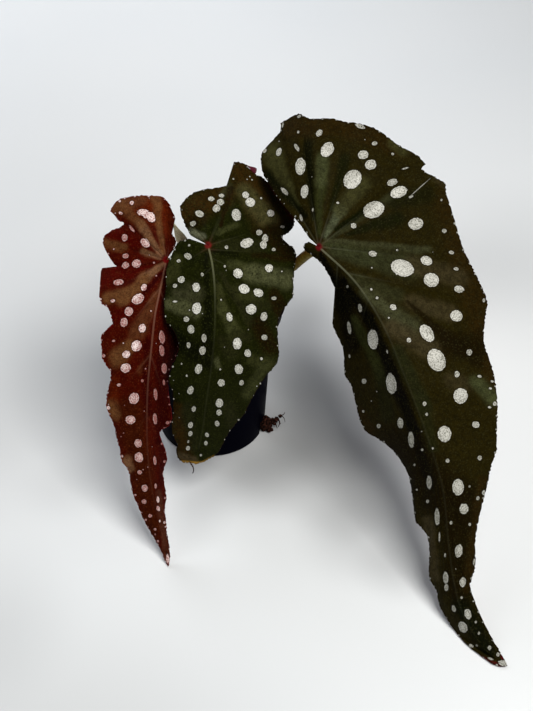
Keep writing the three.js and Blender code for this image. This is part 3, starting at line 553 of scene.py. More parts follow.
# Each leaf's margin is rows of x and y on its drawing. Where a side vein ends, a row adds the vein's start
# down the midrib and the bulge of the blade after it. A 1 at the end marks a corner.
RIGHT_LEAF = {
    "joint": (55.5, -38, 149.5),
    "turn": -10,
    "tip": 43,
    "fold": (1.1, 0.42),
    "back": 0.0022,
    "rib_reach": 30,
    "paint_strength": (1.1, 1.13, 1.05),
    "midrib": [
        (0, 0, 0), (16, 12, 0.5), (32, 30.5, 1), (45, 53, -1.5), (59, 80, -8), (69, 103, -14),
        (76, 133, -20.5), (80, 148, -22.5), (85, 161, -23.7), (91.5, 171, -23.6), (100, 179, -23),
        (108.5, 183, -22),
    ],
    "margin": [
        (-5.4, -4.3), (-12.9, -13.2), (-20.3, -21), (-26.4, -26.4), (-32.3, -34.2), (-36.7, -39.6),
        (-39.6, -48.2), (-39.2, -52.2, 0, 3), (-35.8, -55.8), (-32, -59.6), (-30.2, -62),
        (-31, -66.3, 1), (-23, -69.2), (-20.4, -69.2, 0, 3.5), (-14.3, -65.4), (-5, -63.6), (2.6, -61.7),
        (11.3, -62.1, 0, 3), (20, -60.6), (30.4, -55), (40, -51.5), (44.3, -47.8, 0, 1.6, 1),
        (42.8, -45.1), (49.7, -42.3), (55, -40, 1), (55.4, -36.2), (59.8, -26), (66.6, -10.2),
        (71.2, -3, 0, 2.2), (75.2, 3.4), (80.7, 14.5, 11, 3.5), (80.5, 22), (80.9, 34), (84, 41.4),
        (87.5, 49.5), (90.6, 63, 34, 3), (91.5, 72.7), (92.8, 84.6, 58, 2.6, 1), (91.1, 92), (90.3, 101),
        (88.4, 116.5), (87.9, 128), (89.3, 139.5, 100, 2), (88.5, 145.5), (87.7, 149, 1), (89.7, 154.5),
        (94.7, 163.4, 132, 1.5), (100.3, 172), (106.3, 179.8), (109, 183.3, 175, 0.8, 1), (105.6, 185),
        (100, 184.2), (93, 180.7), (85.7, 175), (80.4, 169.6, 146, 1), (75, 162), (72.9, 155.5),
        (69.4, 151, 120, 1.5), (68.2, 146), (67.5, 137.5), (65.6, 129.9), (62.9, 126.6),
        (59.5, 124, 90, 2), (57.7, 117.8), (55.6, 109), (52.6, 100.5), (44.5, 91), (35.7, 86),
        (30.5, 84), (26.8, 79, 44, 2.5), (23, 68.6), (20.2, 61.2), (17, 57.5, 22, 2.2), (15, 45),
        (10.6, 37.4), (8.8, 34, 7, 1.5), (8.9, 26.2), (9.6, 20.5), (8, 16), (2.3, 7.6), (-2.5, 4),
        (-7.5, 0.8), (-7.9, -1.4), (-5.6, -2.5),
    ],
    "lift": lambda x, y, t: 0.47 * np.maximum(-t, 0) * (1 - soft_step(-10, 18, y)),
    # Strokes as the name of their tone, from x, y to x, y, width at both ends, strength. Besides the blade's
    # own bands and blotches they lay painted sheen and painted shade
    "strokes": [
        ("bark", 62, -30, 80, 25, 12, 9, 0.75), ("bark", 82, 30, 90, 60, 7, 5, 0.8),
        ("umber", 64, 38, 80, 36, 6, 6, 0.8), ("umber", 48, 92, 76, 112, 14, 13, 0.9),
        ("umber", 78, 110, 84, 152, 9, 7, 0.9), ("bark", 88, 100, 87, 150, 3, 3, 0.75),
        ("bark", -25, -63, 32, -55, 6, 6, 0.75), ("khaki", -14, -21, -34, -51, 1.2, 5.6, 0.95),
        ("pine", -9, -15, -34, -39, 1.4, 3.2, 0.85), ("pine", -4.5, -13, -13, -51, 1.3, 3.4, 0.8),
        ("olive", -0.5, -5, -3, -27, 1.2, 3.2, 0.9), ("fern", -3, -31, -4, -43, 3.2, 3.5, 0.8),
        ("night", 3.5, -18, 7, -44, 1, 3, 0.75), ("pale", 2, -5, 7.5, -19, 1.2, 2.8, 1),
        ("khaki", 7, -18, 16, -33, 3, 4, 0.75), ("dull_and_shade", 4, -4, 34, -33, 1, 2.4, 0.6),
        ("night", 6, -9, 22, -23, 0.9, 1.9, 0.9), ("night", 12, -8, 34, -19, 1.2, 4, 0.75),
        ("night", 32, -26, 46, -33, 3, 5, 0.6), ("sheen", 3, -3.4, 50, -6.2, 1.2, 1.9, 0.8),
        ("fern", 2, -1, 24, 1, 1.4, 4, 0.85), ("dull_and_shade", 8, 1, 42, 3, 3.4, 7, 0.85),
        ("clay", 44, 2, 66, 5, 5, 5, 0.8), ("clay", 46, 20, 64, 23, 4, 4, 0.75),
        ("dull_and_shade", 18, 13, 38, 18, 3, 4, 0.6), ("sheen", 24, 19, 46, 32, 3, 5, 0.95),
        ("clay", 38, 33, 56, 41, 4, 5, 0.85), ("moss", 42, 44, 56, 67, 3.5, 4, 0.85),
        ("moss", 56, 66, 63, 86, 3.5, 3, 0.7), ("clay", 68, 54, 74, 56, 4, 4, 0.6),
        ("umber", 44, 20.5, 58, 31, 1, 2.4, 0.9), ("umber", 58, 31, 78, 43, 2.6, 4, 0.8),
        ("fern", 80, 54, 88, 60, 3.5, 4, 0.85), ("clay", 50, -43, 55, -39, 2, 2, 0.5),
        ("khaki", 28, -56, 33, -53, 3, 3, 0.8), ("black", 1, 3, 14, 24, 1.4, 4.5, 1),
        ("black", 14, 24, 20, 42, 5, 5, 0.85), ("olive", 19, 30, 36, 56, 1.8, 3.6, 0.85),
        ("moss", 36, 56, 40, 74, 3.6, 4, 0.6), ("black", 13, 14.5, 27, 31, 1.8, 2.8, 1),
        ("black", 27, 31, 41, 55, 2.8, 3, 1), ("black", 41, 55, 53, 80, 3, 3, 0.95),
        ("black", 53, 80, 64, 104, 2.8, 2.4, 0.7), ("bark", 25, 74, 33, 83, 3, 3, 0.7),
        ("clay", 65, 122, 71, 148, 2.6, 2.6, 0.85), ("umber", 76, 118, 78, 148, 2.4, 2.4, 0.6),
        ("pine", 85, 160, 100, 178, 5, 3.5, 0.9), ("crimson", 97, 183.6, 108, 185, 0.8, 0.8, 0.8),
        ("crimson", 105.5, 179.6, 109.4, 183, 0.7, 0.7, 0.8),
    ],
    "dry": [],
    # Spots as x, y, width, height and turn in degrees, clockwise; a round one has its width alone
    "spots": [
        (-29.2, -50.3, 3.2, 4.2), (-19.1, -51, 5.2, 1.7, 52), (-15.4, -40.6, 5.5, 9, -14),
        (-11.2, -27.5, 4, 6.8, -8), (-22.4, -28.8, 6, 2, 42), (-2.1, -47, 6.6, 7.4), (-7.7, -56.4, 3.4),
        (11.4, -34.2, 7.5, 9.8, 26), (14.8, -47, 5, 4.2, -30), (18.8, -42.8, 5.4, 4.6, -40),
        (22.8, -21.4, 10.4, 7.4, -35), (14.5, -12.3, 2.5), (6.1, -21.8, 1.3, 1), (-5.4, -18, 1, 2),
        (-11.2, -14.5, 1.4, 3.8, -25), (-26.8, -27, 0.7), (-19.6, -59.2, 1.2, 1.6, -20),
        (19.3, -53.6, 2.6, 1.9, -30), (28.3, -50, 1.3), (29.7, -36, 5.2, 3.2, -32),
        (33.3, -31.8, 8.4, 5.2, -32), (35, -44, 3.4, 0.8, -26), (43, -18, 7, 5.6, -25),
        (56.8, -16.8, 2.2), (61.4, -7.1, 2.4, 1.8), (35.8, -4.1, 1), (50, -1.3, 5.6, 4.4, 12),
        (39.2, 4.2, 10.8, 8.2, 12), (64.5, 0.5, 2.4, 1.7), (53.3, 8, 7.2, 7), (53.8, -31.6, 1, 1.3),
        (42.7, -35.6, 13.2, 0.42, -51), (39.2, -30.6, 2.4, 1.1, -30), (24.7, -0.6, 3.7, 2.7),
        (25.3, 6.4, 0.8), (26.4, 17, 1.2), (29.5, 20.6, 1.3), (37.3, 23.9, 3, 2.6, 30),
        (35.9, 29.2, 0.9), (15, 16.5, 1.2), (22, 25.8, 1.9, 3.7, -16), (17.3, 34.8, 1.9, 6, -14),
        (29.5, 39.5, 5, 9, -12), (36.9, 44.6, 0.8, 1.9, -20), (46.2, 38.2, 2, 2.2),
        (54, 33.9, 5.6, 8.6, -38), (18.5, 48, 1, 1.8, -10), (27, 59.2, 2.4), (40.3, 59, 4.8, 9.8, -14),
        (56.6, 66.5, 1.7, 2), (58.2, 71.2, 1.3, 1.5), (27.9, 73.8, 1.2, 1.4), (66.8, 10.5, 4.6, 3.5),
        (79.1, 14.3, 1.3, 2), (66.8, 23.8, 5.8, 5.4), (59.8, 45.8, 8, 10.6, -30), (74.6, 40.2, 2.6, 3),
        (70, 51, 2.4, 2.9), (72.8, 60.9, 6.6, 7.2), (80.6, 50.7, 2, 1.2), (86.9, 52.3, 1.5, 1.1),
        (86.3, 55.7, 1.4, 1.1), (89.3, 62.6, 1.7, 2), (87, 64.5, 1.7, 1.1), (81.5, 73.3, 3.5, 3.1),
        (67.4, 79.3, 6.2, 7.4, -10), (46.6, 77, 2.8, 5, -10), (52.5, 84.2, 2.7, 8, -10),
        (62.8, 86.5, 1, 1.2), (36.3, 80, 1.9, 2.2), (58.1, 88, 1.2, 1.3), (70.3, 91.5, 1.8, 1.9),
        (85.2, 88.7, 2, 2.2), (55.5, 96, 1, 1.2), (63.2, 103.1, 2.4, 6.6, -8),
        (76.7, 103.4, 5.3, 7.7, -8), (82, 102.5, 1, 1.1), (86.6, 107.7, 1.5, 1.9), (89, 104.8, 1.4, 2.5),
        (80.7, 113.3, 4.1, 5), (63.6, 112.5, 1.4, 1.9), (58, 108, 0.9, 1.1), (68.8, 118.9, 2.3, 8.3, -8),
        (75.4, 120.5, 1.3, 1.7), (84.3, 120.5, 1.3, 1.6), (71, 128.3, 0.8, 5, -6),
        (74.6, 136.5, 0.9, 2.1), (80.6, 133.5, 3.5, 6.2), (88.5, 138, 1, 3.3),
        (76.2, 147.4, 2.4, 6.1, -8), (77.1, 152.2, 1.8, 3.7), (84.2, 148, 3, 4.6),
        (84.5, 155.3, 1.1, 1.3), (81.7, 161.6, 1.9, 3.5, -16), (88.3, 162.6, 3.1, 4.8, -25),
        (86.9, 169.6, 3.9, 5.8, -16), (92.4, 166, 1.1, 1.2), (94.4, 170.8, 1.1, 1.4),
        (92, 178.4, 2.1, 2.3), (94.2, 177, 1.1, 1.3), (100, 176.8, 1.7, 1.9), (104.2, 179.3, 1.5, 1.7),
        (101.4, 182.7, 2.5, 1.5), (106.7, 182.7, 3.9, 3), (11.6, -60.8, 4.8, 2, 12),
        (-38, -52.4, 2.2, 2.4), (-29.4, -65, 1.2, 3), (-20.5, -67.8, 2.2, 1.7),
    ],
}

MIDDLE_LEAF = {
    "joint": (4, -34, 147.5),
    "turn": 4,
    "tip": 41,
    "fold": (0.6, 0.45),
    "back": 0.004,
    "rib_reach": 19,
    "paint_strength": (1.5, 1.43, 1.52),
    "midrib": [
        (0, 0, 0), (1.4, 8, 0.3), (1.9, 30, -3.5), (0.8, 44, -9), (-1.4, 59, -17), (-4.2, 73.5, -28),
        (-7, 89, -42), (-11, 106, -57),
    ],
    "margin": [
        (-7.9, -5.3), (-10.2, -10), (-12.5, -19, 0, 2), (-10.5, -22.3), (-6.7, -25.2), (-2.4, -26.4),
        (4.4, -27.3), (12.7, -29.4, 0, 0.5, 1), (13.7, -35), (14.5, -40.6, 1), (16.5, -40.8),
        (20.1, -39.4, 0, 2.2), (23.5, -35.6), (28.1, -33.2), (31, -30.3), (36, -24.5), (40.3, -18),
        (42.7, -12.5, 0, 2), (42.2, -10), (40.2, -7), (36.2, -4), (38, -1.5), (41.5, 1.3),
        (42.6, 4.6, 2, 2.2), (41.5, 11), (40.6, 18), (40.2, 24.5, 6, 2.2), (37.5, 28.2), (35, 31.3),
        (32.4, 37), (32.2, 45), (32.6, 53.5, 15, 2.2), (30.8, 58.2), (26.6, 62.4), (21.5, 69.7),
        (17, 77.6), (15, 82, 40, 1.6), (10.5, 86.9), (6, 92.5), (2.6, 99, 68, 0.8), (0, 103),
        (-4.5, 105.8), (-10.5, 107.7, 99, 0.6), (-14.3, 107), (-18, 107), (-20.8, 104), (-21.2, 100),
        (-20.4, 97.8), (-22.5, 91, 60, 1.2), (-22.6, 86), (-21.3, 78), (-20.9, 69),
        (-22.4, 64.5, 34, 1.6), (-22, 60.5), (-19.4, 54.3), (-17, 49.5), (-16.7, 44), (-19.3, 37.6),
        (-21.8, 34.5), (-22.5, 30, 10, 2), (-22.4, 24), (-21.1, 18), (-20.8, 11.8, 1, 1.5), (-19.5, 6.5),
        (-16.6, 1), (-14.8, -2.2), (-12, -3.5), (-8.8, -3.9),
    ],
    "lift": lambda x, y, t: (
        0.25 * np.maximum(-t, 0)
        - 0.35 * np.maximum(t, 0) * (1 - soft_step(-12, 12, y))
        + 2.2 * soft_step(-8, -24, y) * (soft_step(9, 14.5, x) - 0.5) * (1 - soft_step(24, 34, x))
        + 2 * soft_step(30, 60, y)
    ),
    "strokes": [
        ("bark", -8, -17, 8, -24, 7, 6, 0.95), ("umber", -9, -9, -3, -14, 4, 4, 0.8),
        ("bark", 17, -37, 30, -16, 7, 10, 0.95), ("khaki", 18, -26, 29, -14, 4, 6, 0.95),
        ("umber", 27, -32, 40, -12, 3, 3, 0.7), ("wine", 30, -34, 43.5, -13, 1.9, 2, 0.95),
        ("dull_and_shade", 8, -24, 11, -28, 2, 2, 0.7), ("umber", 6, -9, 11.6, -27.5, 1.2, 1.6, 0.95),
        ("umber", 30, -6, 38, 2, 5, 5, 0.95), ("umber", 22, -6.5, 30, -5, 2, 3, 0.7),
        ("moss", 6, 0, 24, 0, 2.5, 4, 0.7), ("pine", 2, 3, 13, 4.5, 1.4, 1.6, 0.8),
        ("umber", 22, 4.5, 42, 6.5, 1.5, 2, 0.85), ("leaf", 11, 9.5, 20, 13, 2.5, 4, 0.9),
        ("fern", 20, 13.4, 37, 16.5, 4.4, 4.6, 0.95), ("olive", 13, 22, 22, 25, 3.4, 3.4, 0.8),
        ("moss", 18, 29, 28, 29, 3.4, 3, 0.7), ("umber", 31, 24, 36, 36, 3.6, 4, 0.95),
        ("moss", 6, 14, 19, 37, 1, 2.6, 0.9), ("umber", 23, 38, 28, 49, 4.2, 4.6, 0.95),
        ("olive", 4.2, 19, 5.5, 30, 1.8, 2.6, 0.9), ("leaf", 5, 29, 12, 43, 2.4, 3.6, 0.95),
        ("moss", 11, 42, 17, 43.5, 3, 2.4, 0.8), ("moss", 5, 45, 9, 51, 3.4, 4, 0.7),
        ("olive", 19, 55, 29, 58.5, 3, 4, 0.9), ("leaf", 25, 59, 17, 71, 3, 3.4, 0.85),
        ("pine", -1.6, 4, -1.4, 26, 1.2, 1.8, 0.85), ("pine", -1.6, 26, -2.8, 56, 1.8, 3.4, 0.95),
        ("olive", -15, 6, -19, 14, 3, 4, 0.8), ("dull_and_shade", -14.5, 21.2, -7, 22, 4.4, 4.4, 0.9),
        ("fern", -20, 26, -8, 30, 3, 3.8, 0.95), ("night", -12, 1.5, -4, 7.5, 2, 2, 0.8),
        ("night", -17, 17, -12, 19, 1.8, 1.8, 0.6), ("pine", -20, 40, -8, 50, 4.5, 5.5, 1),
        ("bark", -20, 78, -17, 103, 4.4, 4.4, 0.95), ("moss", -14, 78, -12, 98, 3.4, 3, 0.7),
        ("pale", -7.5, -6.5, -2.2, -4, 2, 1.6, 1), ("fern", 1.8, 54, 2.2, 57, 1.5, 1.5, 0.6),
        ("clay", -19, 103, -12, 105.5, 2, 1.6, 0.85), ("leaf", 5, -6, 13, -10, 1.4, 2, 0.7),
        ("moss", 6, 78, 9, 88, 4, 3, 0.7),
    ],
    "dry": [(-19, 106.6, -8, 107.4, 0.9, 0.7, 0.6), (-8, 107.4, -2, 104.4, 0.8, 0.6, 0.5)],
    "spots": [
        (2.4, -22, 3, 2.2), (7.4, -23.7, 2.6, 1.8), (6.8, -20.5, 3.6, 3, -25), (4.7, -17.5, 3.2, 4, 35),
        (-3.3, -15.2, 4.2, 2.9, 28), (-6.6, -10.9, 2.8, 2.5), (19.1, -24.3, 3.3, 3.2),
        (21.1, -20.8, 4.6, 4.5), (26.6, -23, 1), (14.1, -14.5, 4.5, 5.7), (30.9, -15.7, 3.5, 3.4),
        (24.7, -6.2, 3, 2.6), (36.4, -9.1, 2.2, 1.4), (27.5, -3.3, 3, 4, 10), (26.5, -0.3, 3.3, 3.8, 10),
        (18.5, -1.1, 6.6, 4.2, -20), (8.6, 0.9, 1.7), (31.5, 2, 1.9, 1.7), (-8.9, -0.8, 1.3, 1.1),
        (-9.7, 4.2, 3.8, 2.6, 38), (-14.3, 6, 1.8, 1.5), (-13.4, 14.9, 3.3, 3.2), (-16.6, 17.5, 2.1, 2),
        (-6.5, 19.1, 3.5, 4.4), (-3.4, 13.3, 1.4, 1.8, -15), (7.4, 10, 1, 1.3),
        (13.5, 13.4, 4.4, 4.6, -30), (28.7, 11, 3.8), (35, 12.6, 0.7), (16.1, 20.7, 5.2, 4.4, 22),
        (23.1, 22.6, 4.7, 3.8, 25), (-6.8, 28.9, 4.2, 5.4, 15), (-12, 33.8, 2.6), (-10, 38.7, 3.1, 4.1),
        (-4, 43.2, 2.4, 4), (-5, 49.1, 3, 4.2, 10), (-11.6, 46.1, 1.9, 3), (-7.3, 57.9, 3.3, 4.9, 20),
        (8.6, 33.7, 2.8, 4.2, -12), (19.2, 30.4, 5.2, 4.7), (25.4, 34, 3.3, 4.1, 15),
        (30.6, 25.4, 2.7, 1.6), (25.4, 44, 2.9, 2.7), (11.9, 46.5, 4.3, 5.6),
        (16.9, 51.4, 3.2, 3.8, -10), (23.7, 54.4, 1.4), (12.3, 58.9, 4, 4.9, -15), (3.4, 65.3, 3.4, 3.6),
        (13.5, 65.9, 2.3, 2.7), (-11.9, 68.4, 2.9, 4.3, 28), (2.1, 75.5, 3.7, 4.4),
        (-10.8, 78, 2, 3.2, 20), (1.8, 80.5, 2.7, 3.1), (0.6, 86.3, 2.4, 3, -15),
        (-12.9, 86.4, 2.4, 3.4, 20), (-13.3, 91, 2.1, 2.8, 20), (-4.8, 92, 1.9, 2.5, -20),
        (-5.6, 96.5, 1.8, 2.4), (5, 25.6, 0.8, 0.9), (-17, 25, 2.2, 1), (3.2, 58.6, 0.9, 1),
        (-13.3, 61, 1, 1.2), (-15, 99, 2, 2.6, 30), (-8.5, 103, 1.2, 1.4), (22.6, -32, 0.8),
        (20.2, -32.2, 0.7), (21.6, -33.6, 0.6), (-14.6, 95.4, 1.1, 1.6, 20), (17.5, 40, 0.5, 0.6),
        (-15.5, 55, 0.8, 1),
    ],
}

LEFT_LEAF = {
    "joint": (-16, -34, 139),
    "turn": 8,
    "tip": 42,
    "fold": (0.45, 1.5),
    "back": 0.004,
    "rib_reach": 55,
    "paint_strength": (1.16, 1.04, 0.99),
    "midrib": [
        (0, 0, 0), (-3.3, 11, 3), (-7.6, 25, 4), (-10.7, 40, 2), (-13.8, 56, -2), (-16.2, 75, -9),
        (-17.3, 92, -16), (-16.9, 110, -24.5), (-15.2, 126, -32), (-13, 141, -38), (-12.5, 150, -40),
    ],
    "margin": [
        (4, -5.3), (5.4, -8.5), (5.6, -10.3), (3.9, -13), (4.3, -16.5), (6.2, -20.9, 0, 1), (4.9, -25),
        (3.8, -28.2), (1.2, -30.6), (-3, -31.6, 0, 2.2), (-8.9, -32.7), (-13, -33), (-19.9, -32.3),
        (-23.3, -29.3), (-24.5, -27.4, 0, 2.2, 1), (-20.8, -24.3), (-18.4, -21.4), (-19.2, -19.2),
        (-24.3, -17.7), (-28.2, -15.5), (-29.4, -12.3, 0, 2.2), (-28, -7.5), (-24.9, -1.3), (-23.4, 0.8),
        (-25, 1.6), (-30.3, -0.4), (-32.3, 2.5), (-32.6, 6.5), (-33.3, 13.5, 1, 2), (-32.3, 17.3),
        (-29.4, 20.2), (-28.5, 24), (-28.1, 28), (-31, 30.2), (-33.9, 32.6), (-34.4, 39),
        (-34.5, 43.5, 13, 2), (-32.6, 47.5), (-31.1, 50.5), (-31.7, 54), (-34, 61), (-34.9, 67, 44, 1.8),
        (-33.5, 72), (-32.2, 76), (-31.6, 82.5), (-30.6, 88), (-30.4, 93.5, 72, 1.4), (-27.5, 99.5),
        (-27.2, 104.5), (-26.4, 112, 96, 1), (-24.6, 118), (-22.3, 126), (-18, 136.2), (-15, 143.5),
        (-13.5, 149), (-12.4, 150.8, 143, 0.5, 1), (-11.3, 147.5), (-11, 140), (-11.6, 133),
        (-11.4, 128, 114, 0.6), (-11.6, 121.5), (-10.2, 115.5, 96, 0.8), (-10.6, 108), (-10.6, 102),
        (-8.1, 96, 72, 1), (-9, 90), (-10.8, 83), (-9.8, 81), (-5.5, 79), (-3.8, 75, 44, 1.5),
        (-4.3, 67), (-4.3, 58), (-2.6, 51), (0.9, 45.3), (2.5, 40, 14, 1.5), (1.9, 35.5), (2.5, 28),
        (5, 20), (5.5, 12), (5, 4), (4.6, -1.5),
    ],
    "lift": lambda x, y, t: -12 * (1 - np.clip(y / 150, 0, 1) ** 1.4),
    "strokes": [
        ("brick", -8, -28, 5, -16, 6, 6, 0.85), ("rust", -21, -29, -9, -30.3, 4, 3.2, 0.9),
        ("oxblood", -12, -8, -23, -16, 2.6, 4, 0.85), ("oxblood", -13, -1, -26, 1, 2.6, 3.4, 0.8),
        ("tan", -1, -3, -2.5, -31, 1, 2.6, 0.85), ("sand", -2, -2.5, -11, -19, 1, 2.4, 1),
        ("tan", -11, -19, -19, -29, 2.4, 3, 0.65), ("sand", -3, -1.6, -10.5, -5.4, 1, 1.6, 0.95),
        ("tan", -20, -9, -28.5, -12, 2, 2.6, 0.8), ("oxblood", -9, 3, -31, 7, 1.6, 3.4, 0.9),
        ("sand", -2, 1.6, -11.5, 8, 1.2, 2.2, 1), ("tan", -11, 7.6, -22, 17, 2.4, 3.6, 0.95),
        ("tan", -20, 13.5, -29.5, 15, 2.6, 3, 0.85), ("maroon", -3.5, 6.5, -11, 14, 0.8, 1.6, 0.9),
        ("oxblood", -13, 17, -29, 27, 1.2, 3.6, 0.9), ("rust", -4, 11.5, -9.5, 21.5, 0.8, 2, 0.85),
        ("rust", -9.5, 21.5, -17, 33, 2.2, 4, 0.9), ("tan", -20.5, 38.4, -27.2, 44.2, 3, 4.2, 0.9),
        ("rust", -12, 44, -17, 51, 1.2, 2, 0.5), ("maroon", 0, 16, -3, 50, 3, 4.6, 1),
        ("maroon", -5.5, 46, -9, 86, 4, 4, 0.95), ("maroon", -12.5, 38, -16, 72, 1.8, 2.6, 0.8),
        ("russet", -24, 70, -18, 132, 7, 5, 0.8), ("tan", -32, 65.5, -31.5, 71, 2.8, 3.2, 0.85),
        ("sand", -27.5, 94, -27, 98, 2.6, 2.4, 0.95), ("cocoa", -14, 112, -12.6, 147, 1.4, 1.8, 0.85),
        ("maroon", -10, 88, -12, 108, 2, 1.6, 0.6), ("brick", -30, 55, -31, 62, 3, 3, 0.6),
    ],
    "dry": [],
    "spots": [
        (-13.8, -29.7, 2, 1.9), (-19.5, -31.5, 1.2), (-8.8, -24.2, 5.6, 3.4, 12),
        (-5.4, -21.4, 3.8, 5.6, -25), (-7.4, -22.6, 3.4, 3), (-19.6, -25.5, 2.1, 1.3, 30),
        (-14.9, -17.1, 1.3, 4.3, -30), (-18.7, -13.2, 2.8, 3.5), (-9.2, -9.4, 3.6, 5.1, -38),
        (-24.4, -8.5, 0.8), (-19, -4.4, 3.1, 2.2), (-14.2, 0, 4.3, 4, -15), (-19.5, 0, 3.6, 3, -20),
        (-5.9, 0.6, 1), (-23.6, 8, 5, 2.8), (-5.4, 7.2, 0.8), (-11.7, 12.1, 2.7, 3.3, 25),
        (-15, 17.2, 6, 4.5, -28), (-27, 16.7, 2.2, 1.6), (-19.8, 22.6, 4, 4.3, 20), (-9.4, 23.6, 0.8),
        (-22.6, 27.5, 3.4, 4.3, 20), (-14.3, 31.2, 3.3, 3.9, 20), (-28.3, 35.7, 1.6, 1),
        (-17.7, 39.2, 4.8, 5.2, 25), (-22.9, 42.7, 3.7, 3.5, -20), (-33.7, 42.2, 1.5, 1.7),
        (-23.8, 49.1, 4.9, 4.3, -15), (-14.5, 50.3, 0.8), (-16.5, 55.8, 1.3, 1.5),
        (-27.8, 56.8, 2.1, 1.4), (-21.3, 63.8, 4.7, 5.6, 25), (-34, 67.4, 1.7, 1.9), (-24, 74, 4.6, 4.3),
        (-5.4, 36.1, 2.8, 6), (-6, 42.4, 2.4, 5.3), (-5.6, 50.9, 2.7, 4.9), (-6.4, 57.7, 1.2, 2.9),
        (-10.9, 62.9, 1.8, 5.5), (-12.2, 74.9, 2, 5.5), (-6.3, 77.7, 1.7), (-21.4, 85.8, 3.6, 4.2),
        (-21.7, 92.8, 4, 5.1), (-22.1, 100.4, 2.3, 2.1), (-29.9, 91.6, 1.3, 1.5), (-9.5, 97, 1.3, 1.5),
        (-14.2, 95.5, 1.5, 4.5), (-20.4, 108.7, 3, 3.6), (-15, 108.4, 1.2, 2.7), (-25.4, 112, 1.2),
        (-21.4, 115.7, 2.4), (-14.5, 115.5, 1.4, 3.4), (-14.8, 120, 1.6, 3, -15), (-10.9, 115.6, 1, 1.2),
        (-19.1, 123.4, 1.9), (-21.5, 125.4, 1.2, 1.3), (-12.3, 128, 1.2, 1.3), (-17.3, 130.7, 1.3, 1.4),
        (-17.5, 133.5, 0.8, 1), (-16.5, 137.3, 1.2, 1.4), (-12.4, 147, 1.6, 5.4),
        (-14.6, 126.6, 0.8, 1.4), (-23.9, 104, 0.5),
    ],
}

# Tones of each leaf; 'lit' and 'shade' set how much the spots are painted darker where the painted tone is
# dark
DARK_TONES = {
    "ground": "1f1904", "deep": "0d0a02", "rib": "7b7e66", "fleck": "35331c", "spot": "cbcac1",
    "spot_grain": "75746a", "line": "1c0506", "joint": "520e12", "rib_strength": 0.32,
    "vein_strength": 0.1, "gloss": 0.008, "lit": (0.01, 0.144), "shade": 0.34, "pits": 0.3,
}
GREEN_TONES = DARK_TONES | {
    "ground": "131603", "deep": "0a0b02", "rib": "787a5c", "fleck": "343818", "spot": "d8d7ce",
    "spot_grain": "7c7b6f", "line": "180606", "joint": "621a18", "rib_strength": 0.5,
    "vein_strength": 0.06, "pits": 0.5,
}
RED_TONES = DARK_TONES | {
    "ground": "3b0a01", "deep": "220100", "rib": "8a6250", "fleck": "602e18", "spot": "eedcd7",
    "spot_grain": "8e5a55", "line": "6a1016", "joint": "6a0e0e", "vein_strength": 0.16, "gloss": 0.01,
    "lit": (0.02, 0.14), "shade": 0.6, "pits": 0.2,
}


def spot_row(x, y, wide, high=None, turn=0):
    """A spot as x, y, half width, half height and lean."""
    return x, y, wide / 2, (high or wide) / 2, math.radians(turn)


